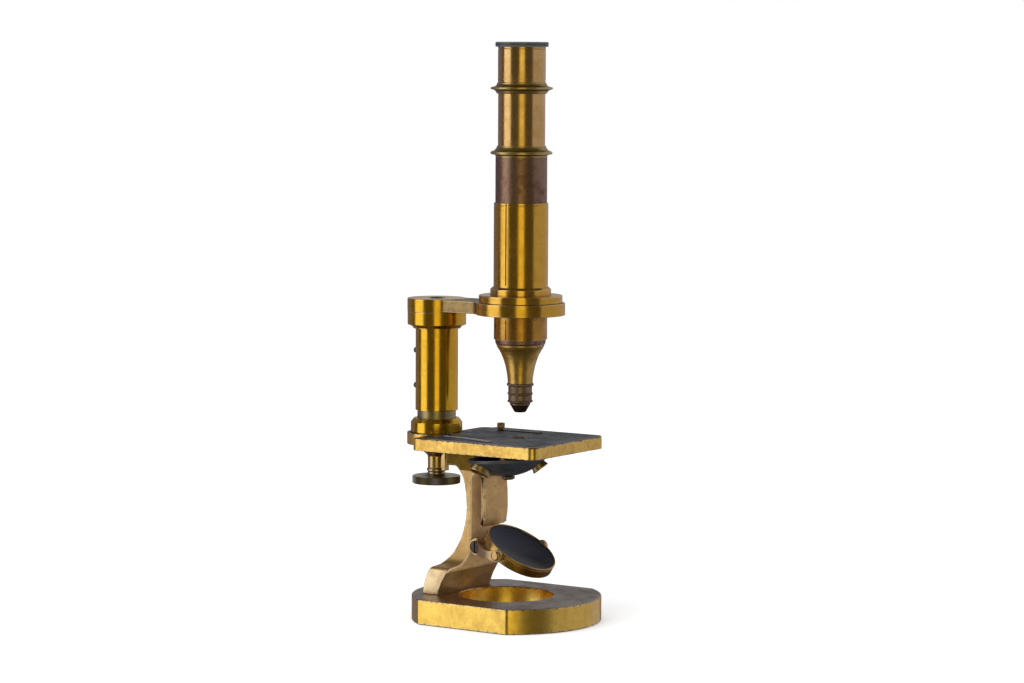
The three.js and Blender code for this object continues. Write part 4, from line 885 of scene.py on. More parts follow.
for level in ("upper", "lower"):
    s = Spot("guide_screw_" + level)
    length = s.y1 - s.y0
    screw = turned("guide_screw_head_" + level,
        [(0, 0), (0.8, 0, 0.1), (0.8, length - 3.0, 0.05), (1.4, length - 3.0, 0.1),
        (1.4, length - 0.55, 0.2), (0.9, length, 0.4), (0, length)], "steel", segments=32,
        matrix=lying(s.x, s.y0, s.z, "X", -90))
    carve(screw, (s.x - 2, s.y1 - 0.4, s.z - 0.22), (s.x + 2, s.y1 + 1, s.z + 0.22))
    put(screw, "focus_arm", "dark_steel", "guide_screw_" + level)

# (radius, height above the floor, fillet)
HOUSING_OUTLINE = [(9.5, 85.2, 0.1), (9.0, 84.0, 0.3), (7.6, 82.0, 0.5), (6.4, 80.9, 0.5),
    (5.2, 80.0, 0.4), (4.5, 79.0, 0.4), (4.4, 77.0, 0.5), (4.35, 73.0, 0.3), (4.85, 72.4, 0.3),
    (4.85, 71.4, 0.2), (2.6, 71.4, 0.1), (2.6, 85.2, 0.1)]
put(turned("spindle_housing_turned", HOUSING_OUTLINE, "housing", COLUMN), "stand", "lacquered_brass",
    "spindle_housing")
put(plate("housing_rib", [(CENTRE_Y + 36.4, 71.8), (CENTRE_Y + 39.4, 71.8), (CENTRE_Y + 39.4, 85.2),
    (CENTRE_Y + 36.4, 85.2)], [], -1.85, 1.85, "housing", fillet=0.35, support=0.4,
    to3d=lambda a, b, c: (c, a, b)), "stand", "lacquered_brass")
spindle = Spot("fine_focus_spindle")
put(turned("fine_screw", [(0, spindle.lo), (spindle.r, spindle.lo, 0.2), (spindle.r, spindle.hi, 0.4),
    (0, spindle.hi)], "steel", COLUMN, segments=48), "fine_knob", "dark_steel", "fine_focus_spindle")
knob = Spot("fine_focus_knob")


# faces above the milled band, facing up, take the painted light copy
def knob_face(face):
    return 1 if face.calc_center_median().z / MM > knob.lo + 3.6 else 0


put(turned("fine_knob_milled", raised(knob.lo, (0, 0.35), (6.5, 0.35, 0.3), (7.2, 0, 0.3),
    (knob.r - 0.3, 0, 0.2), (knob.r, 0.3, 0.15), (knob.r, 3.5, 0.15), (knob.r - 0.3, 3.8, 0.2),
    (7.2, 3.8, 0.8), (6.2, 4.15, 0.6), (4.5, 4.6, 0.3))
    + raised(knob.hi, (4.5, 0, 0.35), (2.3, 0, 0.1), (2.3, -1.9, 0.1), (0, -1.9)), "knob knob_top",
    COLUMN, teeth=130, bite=0.2, band=(knob.r - 0.15, knob.lo + 0.25, knob.lo + 3.55), pick=knob_face),
    "fine_knob", "dark_brass", "fine_focus_knob")

spring = Spot("column_spring")
# FOCUS_ROOM keeps the spring clear of the sleeve's head at its lowest
TURNS, WIRE, COIL, FOCUS_ROOM = 8, 0.45, 4.2, 1.15


def spring_piece():
    sections = []
    total = TURNS * 28
    rise = spring.hi - spring.lo - 2 * WIRE - FOCUS_ROOM
    for i in range(total + 1):
        a = 2 * math.pi * TURNS * i / total
        out = Vector((math.cos(a), math.sin(a), 0))
        middle = Vector((COLUMN.x, COLUMN.y, spring.lo + WIRE + rise * i / total)) + out * COIL
        sections.append([middle + out * WIRE * math.cos(b) + Vector((0, 0, WIRE * math.sin(b)))
            for b in (2 * math.pi * k / 10 for k in range(10))])
    return loft("pillar_spring", sections, "spring")


put(spring_piece(), "stand", "spring_steel", "column_spring")

# ---- arm ------------------------------------------------------------------------------
arm = Spot("arm")
BOSS, BAR, ARM_RING, ARM_BORE, SOCKET = 14.9, 10.5, 22.1, 13.65, 4.35


def arm_outline():
    fillet = 5.0
    hub = BOSS - 0.1  # just inside the turned boss that covers it
    out = []
    # the ring, then a hollow sweep into the bar, then the boss, and back
    ring_y = math.sqrt((ARM_RING + fillet) ** 2 - (BAR + fillet) ** 2)
    ring_angle = math.degrees(math.atan2(ring_y, BAR + fillet))
    out += arc(OPTIC.x, OPTIC.y, ARM_RING, 180 - ring_angle, 360 + ring_angle, 72)
    out += arc(BAR + fillet, OPTIC.y + ring_y, fillet, 180 + ring_angle, 180, 8)[1:]
    boss_y = math.sqrt((hub + 2.0) ** 2 - (BAR + 2.0) ** 2)
    boss_angle = math.degrees(math.atan2(boss_y, BAR + 2.0))
    out += arc(BAR + 2.0, COLUMN.y - boss_y, 2.0, 180, 180 - boss_angle, 5)
    out += arc(COLUMN.x, COLUMN.y, hub, -boss_angle, 180 + boss_angle, 56)[1:]
    out += arc(-BAR - 2.0, COLUMN.y - boss_y, 2.0, boss_angle, 0, 5)[1:]
    out += arc(-BAR - fillet, OPTIC.y + ring_y, fillet, 0, -ring_angle, 8)[:-1]
    return out


bar_top = Spot("sleeve_flange").lo


def arm_face(face):
    c = face.calc_center_median() / MM
    out = math.hypot(c.x - OPTIC.x, c.y - OPTIC.y)
    return 1 if out > ARM_RING - 0.3 and abs(face.normal.z) < 0.9 and c.y < OPTIC.y + 15.5 else 0


put(plate("arm_bridge", arm_outline(), [circle(OPTIC.x, OPTIC.y, ARM_BORE, 96),
    circle(COLUMN.x, COLUMN.y, SOCKET, 40)], arm.lo + 0.3, bar_top, "arm sleeve", fillet=0.4, support=0.5,
    pick=arm_face), "focus_arm", "lacquered_brass", "arm")
s = Spot("arm_screw")
put(turned("arm_boss", [(1.95, flange.hi, 0.1), (BOSS, flange.hi, 0.1), (BOSS, bar_top + 0.1, 0.35),
    (SOCKET, bar_top + 0.1, 0.2), (SOCKET, bar_top - 1.0, 0.1), (1.95, bar_top - 1.0, 0.1)], "column",
    COLUMN, segments=112), "focus_arm", "lacquered_brass")
screw = turned("arm_screw_head", raised(s.lo, (0, 0), (1.9, 0, 0.2))
    + raised(s.hi, (1.9, -1.3, 0.05), (s.r, -1.3, 0.1), (s.r, -0.35, 0.3), (s.r - 1.2, 0, 0.6), (0, 0)),
    "steel", s, segments=64)
slot_cut(screw, s, 5, 0.42, 0.7)
put(screw, "focus_arm", "dark_steel", "arm_screw")

# ---- sleeve ---------------------------------------------------------------------------
ring = Spot("sleeve_flange")
put(turned("sleeve_ring", raised(ring.lo, (ARM_BORE, 0, 0.1), (ring.r - 0.15, 0, 0.05),
    (ring.r, 0.2, 0.15)) + raised(ring.hi, (ring.r, 0, 0.5), (ARM_BORE, 0, 0.1)), "sleeve", segments=128),
    "focus_arm", "lacquered_brass", "sleeve_flange")
small = Spot("sleeve_collar")
put(turned("sleeve_bead", raised(small.lo, (ARM_BORE, 0, 0.1), (small.r, 0, 0.1))
    + raised(small.hi, (small.r, -1.1, 0.8), (small.r - 1.2, 0, 0.6), (ARM_BORE, 0, 0.1)), "sleeve",
    segments=128), "focus_arm", "lacquered_brass", "sleeve_collar")
tube = Spot("tube_sleeve")
LOWER_R, SLEEVE_BORE, STEP_Z, SLIT_UP, SLIT_DOWN, SLIT_HALF = 13.25, 12.95, 152.0, 168.0, 151.0, 0.3


def sleeve_face(face):
    return 1 if face.calc_center_median().z / MM < arm.lo else 0


piece = turned("tube_sleeve_sprung", raised(tube.lo, (SLEEVE_BORE, 0, 0.08), (LOWER_R, 0, 0.08))
    + [(LOWER_R, STEP_Z, 0.05), (tube.r, STEP_Z, 0.05)]
    + raised(tube.hi, (tube.r, -1.6, 0.1), (tube.r - 0.12, -1.4, 0.1), (tube.r - 0.12, -1.1, 0.1),
    (tube.r, -0.9, 0.1), (tube.r, 0, 0.15), (SLEEVE_BORE, 0, 0.1)), "sleeve sleeve_low", segments=128,
    pick=sleeve_face)
for z0, z1 in ((SLIT_UP, tube.hi + 1), (tube.lo - 1, SLIT_DOWN)):
    carve(piece, (-tube.r - 1, OPTIC.y - SLIT_HALF, z0), (2 - SLEEVE_BORE, OPTIC.y + SLIT_HALF, z1))
put(piece, "focus_arm", "lacquered_brass", "tube_sleeve")

# ---- body tube and objective ----------------------------------------------------------
body = Spot("body_tube")
put(turned("body_tube_bare", pipe(body, 12.1, 0.1, 0.1, 0.05, 0.05), "patina", segments=128), "main_tube",
    "patina_brass", "body_tube")
cuff = Spot("body_tube_flange")
put(turned("body_tube_rim", raised(body.hi, (11.8, 0, 0.05), (body.r, 0, 0.05), (body.r + 0.1, 0.9, 0.3),
    (cuff.r, 1.4, 0.3), (cuff.r, 2.5, 0.35), (13.2, 3.4, 0.8), (12.3, 4.6, 0.5))
    + raised(cuff.hi, (12.1, 0, 0.3), (11.8, 0, 0.05)), "olive_tube", segments=128), "main_tube",
    "olive_brass", "body_tube_flange")
nose = Spot("nose_ring")
put(turned("nose_ring_turned", raised(nose.lo, (10.5, 0, 0.1), (12.0, 0, 0.1), (12.4, 0.7, 0.3),
    (12.5, 1.2, 0.2)) + raised(nose.hi, (12.7, 0, 0.1), (10.5, 0, 0.1)), "patina", segments=128),
    "main_tube", "patina_brass", "nose_ring")
# (radius, height above the floor, fillet)
CONE_OUTLINE = [(12.0, 138.2, 0.1), (11.7, 137.2, 0.4), (11.0, 136.0, 0.6), (10.5, 135.3, 1.0),
    (9.5, 133.4, 4.0), (8.6, 131.3, 5.0), (7.9, 129.2, 6.0), (7.3, 127.0, 6.0), (6.85, 124.6, 4.0),
    (6.5, 122.6, 4.0), (6.25, 120.4, 2.0), (6.2, 118.8, 0.1), (4.7, 118.8, 0.1), (5.3, 124.6, 3.0),
    (6.5, 129.2, 3.0), (8.6, 135.0, 2.0), (10.4, 138.2, 0.1)]
put(turned("nose_bell", CONE_OUTLINE, "cone", segments=112), "main_tube", "lacquered_brass", "nose_cone")
upper, middle_cell, lower = Spot("objective_upper"), Spot("objective_middle"), Spot("objective_lower")
RIM, MID_RIM, BARREL = 6.7, 6.3, 5.95
put(turned("objective_cell_upper", raised(upper.hi, (4.3, 0, 0.1), (RIM, 0, 0.15), (RIM, -1.1, 0.15),
    (BARREL, -1.25, 0.15)) + raised(upper.lo, (BARREL, 0.1, 0.1), (4.3, 0.1, 0.1)), "cells", teeth=60,
    bite=0.13, band=(RIM - 0.02, upper.hi - 1.0, upper.hi - 0.1)), "main_tube", "brown_brass",
    "objective_upper")
put(turned("objective_cell_middle", raised(middle_cell.hi, (4.0, 0, 0.1), (MID_RIM, 0, 0.15),
    (MID_RIM, -0.8, 0.15), (5.9, -0.95, 0.15)) + raised(middle_cell.lo, (5.9, 0.1, 0.1), (4.0, 0.1, 0.1)),
    "cells", teeth=60, bite=0.12, band=(MID_RIM - 0.02, middle_cell.hi - 0.75, middle_cell.hi - 0.1)),
    "main_tube", "brown_brass", "objective_middle")


def tip_face(face):
    return 1 if face.calc_center_median().z / MM < lower.lo + 3.9 else 0


put(turned("objective_cell_front", raised(lower.hi, (3.0, 0, 0.1), (MID_RIM, 0, 0.15),
    (MID_RIM, -0.8, 0.2), (5.2, -1.15, 0.2), (5.0, -2.3, 0.25), (4.7, -2.6, 0.3))
    + raised(lower.lo, (2.95, 0.3, 0.3), (2.6, 0, 0.15), (1.4, 0, 0.1), (1.4, 1.8, 0.1), (3.0, 1.8, 0.1)),
    "cells tip", teeth=60, bite=0.12, band=(MID_RIM - 0.02, lower.hi - 0.75, lower.hi - 0.1),
    pick=tip_face), "main_tube", "brown_brass", "objective_lower")


def lens_piece(name, node, sag, body_name):
    s = Spot(node)
    half = (s.hi - s.lo) / 2
    mid = s.z
    rows = [k / 8 for k in range(9)]
    low = [(s.r * t, mid - half + sag * t * t, 0) for t in rows]
    high = [(s.r * t, mid + half - sag * t * t, 0) for t in rows[::-1]]
    put(turned(name, low + high, "glass", segments=64), body_name, "lens_glass", node)


lens_piece("glass_objective_upper", "lens_objective_upper", 0.6, "main_tube")
lens_piece("glass_objective_middle", "lens_objective_middle", 0.5, "main_tube")
lens_piece("glass_objective_front", "lens_objective_front", 0.5, "main_tube")
lens_piece("glass_field", "lens_field", 1.5, "eyepiece")
lens_piece("glass_eye", "lens_eye", 1.2, "eyepiece")

# ---- draw tube and eyepiece -----------------------------------------------------------
draw = Spot("draw_tube")
put(turned("draw_tube_polished", pipe(draw, 11.05, 0.1, 0.15, 0.05, 0.05), "draw", segments=128),
    "inner_tube", "lacquered_brass", "draw_tube")
lip = Spot("draw_tube_flange")
put(turned("draw_tube_rim", raised(lip.lo, (11.05, 0, 0.05), (12.0, 0, 0.05), (12.6, 0.4, 0.3),
    (13.2, 1.6, 1.0), (lip.r, 2.3, 0.25), (lip.r, 3.1, 0.3), (13.0, 3.7, 0.8), (12.3, 4.6, 0.4))
    + raised(lip.hi, (12.2, 0, 0.25), (11.05, 0, 0.05)), "olive_tube", segments=128), "inner_tube",
    "olive_brass", "draw_tube_flange")
inner = Spot("eyepiece_tube")
put(turned("eyepiece_tube_inner", pipe(inner, 10.3, 0.1, 0.15, 0.02, 0.02), "draw"), "eyepiece",
    "olive_brass", "eyepiece_tube")
barrel = Spot("eyepiece_barrel")
put(turned("eyepiece_barrel_outer", raised(barrel.lo, (10.3, 0, 0.05), (barrel.r, 0, 0.25))
    + raised(barrel.hi, (barrel.r, -1.3, 0.08), (barrel.r - 0.15, -1.15, 0.08),
    (barrel.r - 0.15, -0.85, 0.08), (barrel.r, -0.7, 0.08), (barrel.r, 0, 0.2), (11.0, 0, 0.05),
    (11.0, -7.6, 0.05), (10.3, -7.6, 0.05)), "draw", segments=128), "eyepiece", "lacquered_brass",
    "eyepiece_barrel")
cap = Spot("eyepiece_cap")
put(turned("eye_cap", raised(cap.lo, (7.2, 0, 0.1), (10.7, 0, 0.1))
    + raised(barrel.hi, (10.7, 0, 0.05), (cap.r, 0, 0.2))
    + raised(cap.hi, (cap.r, 0, 0.4), (11.6, 0, 0.4), (11.0, -0.35, 0.6), (6.4, -1.0, 1.2),
    (3.9, -1.3, 0.5), (3.2, -1.9, 0.3)) + raised(barrel.hi, (3.2, -1.2, 0.2), (7.2, -1.2, 0.2)), "cap",
    segments=128), "eyepiece", "black_cap", "eyepiece_cap")
stop = Spot("field_stop")
put(turned("field_stop_ring", [(6.0, stop.lo, 0.1), (stop.r, stop.lo, 0.1), (stop.r, stop.hi, 0.1),
    (6.15, stop.hi, 0.1)], "cap", segments=64), "eyepiece", "black_cap", "field_stop")

# ---- mirror ---------------------------------------------------------------------------
# FACE_UP is how far the mirror's rim stands in front of its pivots
LEAN, MIRROR_THICK, FACE_UP = 0.5585, 5.9, 2.6
back = FACE_UP - MIRROR_THICK
MIRROR_R = 18.9
MIRROR_AT = Vector((0, CENTRE_Y - 9.0 + FACE_UP * math.sin(LEAN), 37.0 - FACE_UP * math.cos(LEAN)))
leaned = Matrix.Translation(MIRROR_AT) @ Matrix.Rotation(LEAN, 4, "X")
LIP, LIP_DEPTH, SAG = 0.9, 1.4, 1.5
bowl = MIRROR_R - LIP
seat = FACE_UP - LIP_DEPTH - SAG
put(turned("mirror_drum", [(0, back), (MIRROR_R - 0.9, back, 0.3), (MIRROR_R, back + 0.9, 0.5),
    (MIRROR_R, FACE_UP - 1.3, 0.1), (MIRROR_R - 0.15, FACE_UP - 1.1, 0.1),
    (MIRROR_R - 0.15, FACE_UP - 0.8, 0.1), (MIRROR_R, FACE_UP - 0.6, 0.1), (MIRROR_R, FACE_UP, 0.35),
    (bowl, FACE_UP, 0.3), (bowl, seat - 0.2, 0.1), (0, seat - 0.2)], "mirror_cell", segments=128,
    matrix=leaned), "mirror", "lacquered_brass", "mirror_cell")
glass_r = bowl - 0.2
dished = [(glass_r * t, FACE_UP - 0.5 - SAG * (1 - t * t), 0.12 if t == 1 else 0)
    for t in [1 - k / 10 for k in range(11)]]
put(turned("mirror_disc", [(0, seat), (glass_r, seat, 0.1)] + dished, "mirror", segments=128,
    matrix=leaned), "mirror", "mirror_face", "mirror_glass")

# ---- mirror fork ----------------------------------------------------------------------
FORK_Y, FORK_Z = Spot("fork_shaft").y, Spot("fork_shaft").z
GAP_X, STRIP, PIVOT_X, BOSS_R, EYE_R = 10.9, 1.9, 21.4, 4.4, 3.1


def fork_profile(y):
    """Lowest and highest z of a fork arm at y, in mm."""
    low, high = [], []
    for cy, cz, r in ((FORK_Y, FORK_Z, BOSS_R), (MIRROR_AT.y, MIRROR_AT.z, EYE_R)):
        if abs(y - cy) <= r:
            h = math.sqrt(r * r - (y - cy) ** 2)
            low.append(cz - h)
            high.append(cz + h)
    if MIRROR_AT.y <= y <= FORK_Y:
        t = (y - MIRROR_AT.y) / (FORK_Y - MIRROR_AT.y)
        waist = EYE_R + (BOSS_R - EYE_R) * t - 1.5 * math.sin(math.pi * t)
        cz = MIRROR_AT.z + (FORK_Z - MIRROR_AT.z) * t - 0.9 * math.sin(math.pi * t)
        low.append(cz - waist)
        high.append(cz + waist)
    return min(low), max(high)


def fork_arm(side, sx):
    outer = PIVOT_X
    path = []
    bend_y = MIRROR_AT.y + math.sqrt(outer ** 2 - (GAP_X + STRIP) ** 2)
    rear = FORK_Y + BOSS_R
    steps = 16
    for k in range(steps):
        t = k / steps
        # crowd the stations at the round end
        path.append((GAP_X + STRIP / 2, rear - (rear - bend_y) * (1 - math.cos(t * math.pi / 2)), 0.0))
    start = math.asin((bend_y - MIRROR_AT.y) / outer)
    stop_angle = -math.asin(EYE_R / outer)
    r = outer - STRIP / 2
    for k in range(29):
        a = start + (stop_angle - start) * k / 28
        eased = a if k > 4 else start * (k / 5) ** 0.7
        path.append((r * math.cos(a), MIRROR_AT.y + r * math.sin(a), eased))
    sections = []
    fillet = 0.35
    for i, (x, y, a) in enumerate(path):
        y_here = y + {0: -0.03, len(path) - 1: 0.03}.get(i, 0)
        low, high = fork_profile(min(max(y_here, MIRROR_AT.y - EYE_R + 0.02), rear - 0.02))
        mid = (low + high) / 2
        hz, hx = max(0.3, high - low) / 2, STRIP / 2
        f = min(fillet, hz * 0.8)
        around = []
        ends = ((hx - f, hz - f), (f - hx, hz - f), (f - hx, f - hz), (hx - f, f - hz))
        for quarter, (cx, cz) in enumerate(ends):
            around += arc(cx, cz, f, 90 * quarter, 90 * quarter + 90, 3)
        normal = Vector((math.cos(a), math.sin(a)))
        sections.append([(sx * (x + u * normal.x), y + u * normal.y, mid + w) for u, w in around])
    marks = [0.5, 0.9, 0.9, 0.5] * 4
    return loft("fork_strip_" + side, sections, "fork", marks=marks)


def outward(s, sx):
    """What lays a screw along x with its head on the side of sx."""
    return lying(s.x0 if sx > 0 else s.x1, s.y, s.z, "Y", 90 * sx)


for side, sx in (("left", -1), ("right", 1)):
    put(fork_arm(side, sx), "mirror_fork", "tan_brass", "fork_arm_" + side)
    s = Spot("fork_screw_" + side)
    length = s.x1 - s.x0
    face = outward(s, sx)
    screw = turned("fork_screw_head_" + side,
        [(0, 0), (0.95, 0, 0.1), (0.95, length - 1.8, 0.05), (s.ry, length - 1.8, 0.1),
        (s.ry, length - 0.5, 0.25), (s.ry - 0.7, length, 0.5), (0, length)], "steel", segments=56,
        matrix=face)
    edge = s.x1 if sx > 0 else s.x0
    near, far = sorted((edge - sx * 0.6, edge + sx))
    carve(screw, (near, s.y - 0.4, s.z - 5), (far, s.y + 0.4, s.z + 5))
    put(screw, "mirror_fork", "dark_steel", "fork_screw_" + side)
    s = Spot("mirror_screw_" + side)
    length = s.x1 - s.x0
    face = outward(s, sx)
    put(turned("mirror_screw_head_" + side, [(0, 0), (1.2, 0, 0.1), (1.2, length - 1.0, 0.05),
        (s.ry, length - 1.0, 0.1), (s.ry, length - 0.35, 0.2), (s.ry - 0.8, length, 0.4), (0, length)],
        "gold", segments=48, matrix=face), "mirror_fork", "brown_brass", "mirror_screw_" + side)
s = Spot("slide_block")
put(plate("slide_block_filed", round_rect(s.y0, s.y1, s.lo, s.hi, 0.8, 4), [], s.x0, s.x1, "block",
    fillet=0.35, support=0.5, to3d=lambda a, b, c: (c, a, b)), "stand", "olive_brass", "slide_block")
s = Spot("fork_shaft")
put(turned("fork_axle", [(0, 0), (s.ry, 0, 0.2), (s.ry, s.x1 - s.x0, 0.2), (0, s.x1 - s.x0)], "steel",
    segments=40, matrix=lying(s.x0, s.y, s.z, "Y", 90)), "mirror_fork", "dark_steel", "fork_shaft")

# ---- diaphragm ------------------------------------------------------------------------
DISH_AT = Vector((-14.4, CENTRE_Y - 9.6, 82.9))
DISH_UP = Vector((0.0, 0.075, 1.0)).normalized()
tilted = Matrix.Translation(DISH_AT) @ Vector((0, 0, 1)).rotation_difference(DISH_UP).to_matrix().to_4x4()
DISH_R, DISH_DEPTH, DISH_WALL, HOLE_RING, HUB_BORE, RIM_UP = 19.2, 7.9, 1.0, 14.8, 2.0, 0.4
APERTURES = (2.4, 1.4, 4.6, 0, 3.4)  # radii of the holes round the dish; the fourth place has none
ball = (DISH_R ** 2 + DISH_DEPTH ** 2) / (2 * DISH_DEPTH)


def sag_at(r):
    return -DISH_DEPTH + ball - math.sqrt(ball * ball - r * r)


def dish_piece():
    rows = [HUB_BORE + (DISH_R - HUB_BORE) * k / 14 for k in range(15)]
    under = [(r, sag_at(r) - DISH_WALL, 0) for r in rows[:-1]]
    rim_points = [(DISH_R, sag_at(DISH_R) - DISH_WALL, 0.4), (DISH_R, RIM_UP, 0.35),
        (DISH_R - 1.0, RIM_UP, 0.35)]
    over = [(r, sag_at(r), 0) for r in rows[:-1][::-1]]
    obj = turned("diaphragm_dish", under + rim_points + over, "dish", segments=144, matrix=Matrix())
    first = math.atan2(OPTIC.y - DISH_AT.y, -DISH_AT.x)
    collars = []
    for i, r in enumerate(APERTURES):
        if not r:
            continue
        a = first + 2 * math.pi * i / len(APERTURES)
        at = Vector((HOLE_RING * math.cos(a), HOLE_RING * math.sin(a), sag_at(HOLE_RING)))
        slope = math.asin(HOLE_RING / ball)
        stand = Matrix.Translation(at) @ Matrix.Rotation(slope, 4, Vector((math.sin(a), -math.cos(a), 0)))
        hole = turned("hole", [(0, -4), (r + 0.35, -4, 0), (r + 0.35, 4, 0), (0, 4)], "", segments=48,
            matrix=stand)
        cut_out(obj, hole)
        collars.append((i, r, stand))
    obj.data.transform(Matrix.Scale(MM, 4) @ tilted @ Matrix.Scale(1 / MM, 4))
    return obj, collars


dish, collars = dish_piece()
put(dish, "aperture_dish", "blackened_dish", "diaphragm")
for i, r, stand in collars:
    put(turned("aperture_ring_%d" % i, [(r, -3.1, 0.15), (r + 0.7, -3.1, 0.15), (r + 0.9, -2.8, 0.2),
        (r + 0.9, -2.2, 0.15), (r + 0.6, -2.0, 0.1), (r + 0.6, -1.2, 0.1), (r + 0.3, -1.05, 0.05),
        (r + 0.3, 0.05, 0.05), (r + 0.15, 0.15, 0.05), (r, 0.15, 0.05)], "ring", segments=56,
        matrix=tilted @ stand), "aperture_dish", "lacquered_brass")
POST_R = 4.0
post_low = sag_at(POST_R) + 0.35
post_top = (stage.lo - DISH_AT.z) / DISH_UP.z - 0.35
put(turned("diaphragm_stud", [(0, post_low), (POST_R, post_low, 0.2), (POST_R, post_top, 0.1),
    (0, post_top)], "gold", segments=56, matrix=tilted), "stand", "lacquered_brass", "diaphragm_post")
under = sag_at(0) - DISH_WALL - 0.15
screw = turned("diaphragm_screw_head", [(0, under - 1.6), (2.4, under - 1.6, 0.5),
    (3.3, under - 0.9, 0.4), (3.3, under, 0.1), (1.6, under, 0.05), (1.6, post_low + 4.0, 0.2),
    (0, post_low + 4.0)], "tip", segments=56, matrix=tilted)
carve(screw, (-5, -0.4, under - 2.6), (5, 0.4, under - 0.9), matrix=tilted)
put(screw, "stand", "lacquered_brass", "diaphragm_screw")

# ---- floor, light and camera ----------------------------------------------------------
CAMERA_SIDE = Vector((-0.833, -0.553, 0.0)).normalized()
CAMERA_RIGHT = Vector((-CAMERA_SIDE.y, CAMERA_SIDE.x, 0.0))
CENTRE = Vector((0, CENTRE_Y * MM, 0))


def floor_material():
    g = Graph("pale_paper_floor")
    p = g.node("TexCoord").outputs["Object"]
    tooth = g.noise(p, 900.0, 2.0, 0.5)
    colour = g.mix(g.ramp(tooth, 0.2, 0.8), (0.80, 0.80, 0.80), (0.83, 0.83, 0.83))
    shader = g.node("BsdfPrincipled", {"Base Color": colour, "Roughness": 0.9, "Specular IOR Level": 0.1,
        "Emission Color": (1, 1, 1, 1), "Emission Strength": 0.22})
    return g.finished(shader)


FLOOR_HALF = 8.0
bm = bmesh.new()
bmesh.ops.create_grid(bm, x_segments=8, y_segments=8, size=FLOOR_HALF)
mesh = bpy.data.meshes.new("floor")
bm.to_mesh(mesh)
bm.free()
mesh.materials.append(floor_material())
floor = bpy.data.objects.new("floor", mesh)
floor.location.z = -0.0002
floor.visible_glossy = False
bpy.context.scene.collection.objects.link(floor)


def card(name, azimuth, spread, distance, low, high, colour, strength):
    """A glowing sheet that only reflections see. Azimuth and spread are in degrees about the part's
    middle, counted from the camera: left is negative."""
    a = math.radians(azimuth)
    away = CAMERA_SIDE * math.cos(a) + CAMERA_RIGHT * math.sin(a)
    across = Vector((-away.y, away.x, 0))
    middle = CENTRE + away * distance
    width = 2 * distance * math.tan(math.radians(spread / 2))
    bm = bmesh.new()
    corners = ((-1, low), (1, low), (1, high), (-1, high))
    bm.faces.new([bm.verts.new(middle + across * u * width / 2 + Vector((0, 0, z))) for u, z in corners])
    mesh = bpy.data.meshes.new(name)
    bm.to_mesh(mesh)
    bm.free()
    material = bpy.data.materials.new(name)
    material.use_nodes = True
    tree = material.node_tree
    tree.nodes.clear()
    glow = tree.nodes.new("ShaderNodeEmission")
    glow.inputs["Color"].default_value = (*colour, 1)
    glow.inputs["Strength"].default_value = strength
    tree.links.new(glow.outputs[0], tree.nodes.new("ShaderNodeOutputMaterial").inputs[0])
    material.cycles.emission_sampling = "NONE"
    mesh.materials.append(material)
    obj = bpy.data.objects.new(name, mesh)
    bpy.context.scene.collection.objects.link(obj)
    obj.visible_camera = False
    obj.visible_diffuse = False
    obj.visible_shadow = False
    obj.visible_transmission = False


card("card_left", -75, 38, 1.0, -0.7, 1.3, (1.0, 1.02, 1.25), 1.3)
card("card_edge", -142, 64, 1.2, -0.7, 1.2, (1.0, 0.95, 1.5), 0.20)
card("card_front", 1, 23, 1.35, -0.9, 1.4, (1.0, 0.90, 0.45), 1.05)
for number, azimuth in enumerate((71, 104, 137)):
    card("card_right_%d" % number, azimuth, 34, 1.1, -0.7, 1.2, (1.0, 1.0, 1.3), 0.46)
card("card_back", 180, 48, 1.6, 0.0, 1.0, (1.0, 1.0, 1.0), 0.42)

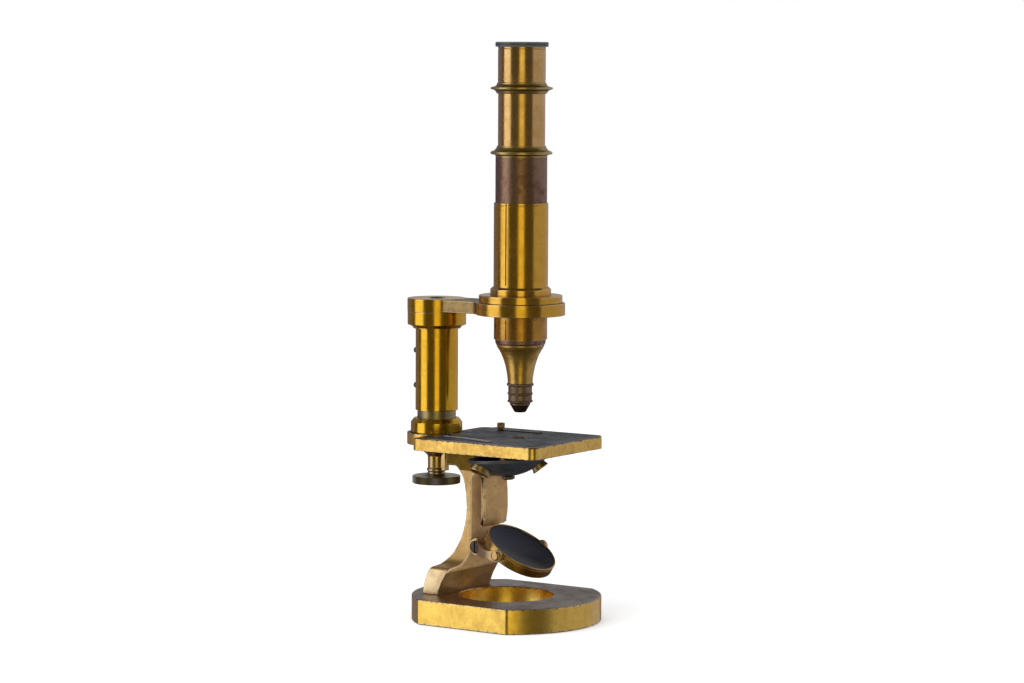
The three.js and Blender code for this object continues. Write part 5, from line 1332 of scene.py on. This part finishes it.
scene = bpy.context.scene
world = bpy.data.worlds.new("studio")
scene.world = world
world.use_nodes = True
tree = world.node_tree
tree.nodes.clear()
path = tree.nodes.new("ShaderNodeLightPath")
bright = tree.nodes.new("ShaderNodeBackground")
bright.inputs["Color"].default_value = (1, 1, 1, 1)
bright.inputs["Strength"].default_value = 1.0
dim = tree.nodes.new("ShaderNodeBackground")
dim.inputs["Color"].default_value = (1.0, 0.92, 0.8, 1)
dim.inputs["Strength"].default_value = 0.09
choose = tree.nodes.new("ShaderNodeMixShader")
tree.links.new(path.outputs["Is Glossy Ray"], choose.inputs[0])
tree.links.new(bright.outputs[0], choose.inputs[1])
tree.links.new(dim.outputs[0], choose.inputs[2])
tree.links.new(choose.outputs[0], tree.nodes.new("ShaderNodeOutputWorld").inputs[0])

lamp = bpy.data.lights.new("key", "AREA")
lamp.shape, lamp.size, lamp.size_y, lamp.energy = "RECTANGLE", 0.9, 0.9, 9.0
key = bpy.data.objects.new("key", lamp)
key.location = CENTRE + CAMERA_SIDE * 0.5 - CAMERA_RIGHT * 0.6 + Vector((0, 0, 1.5))
key.rotation_mode = "QUATERNION"
key.rotation_quaternion = (CENTRE + Vector((0, 0, 0.1)) - key.location).to_track_quat("-Z", "Y")
key.visible_glossy = False
key.visible_camera = False
scene.collection.objects.link(key)

SENSOR, IMAGE_WIDTH, FOCAL_PX = 36.0, 1024, 3210.0
DISTANCE, HEIGHT = 1.5902, 0.2771
PITCH, YAW, ROLL = math.radians(-4.9576), math.radians(0.0748), math.radians(0.3)
lens = bpy.data.cameras.new("camera")
lens.sensor_width = SENSOR
lens.lens = FOCAL_PX / IMAGE_WIDTH * SENSOR
lens.clip_start, lens.clip_end = 0.05, 50
camera = bpy.data.objects.new("camera", lens)
camera.location = CENTRE + CAMERA_SIDE * DISTANCE + Vector((0, 0, HEIGHT))
flat = -CAMERA_SIDE * math.cos(YAW) + CAMERA_RIGHT * math.sin(YAW)
forward = flat * math.cos(PITCH) + Vector((0, 0, math.sin(PITCH)))
right = forward.cross(Vector((0, 0, 1))).normalized()
up = right.cross(forward)
rolled_up = up * math.cos(ROLL) - right * math.sin(ROLL)
rolled_right = right * math.cos(ROLL) + up * math.sin(ROLL)
camera.rotation_mode = "QUATERNION"
camera.rotation_quaternion = Matrix((rolled_right, rolled_up, -forward)).transposed().to_quaternion()
scene.collection.objects.link(camera)
scene.camera = camera
scene.view_settings.view_transform = "Standard"
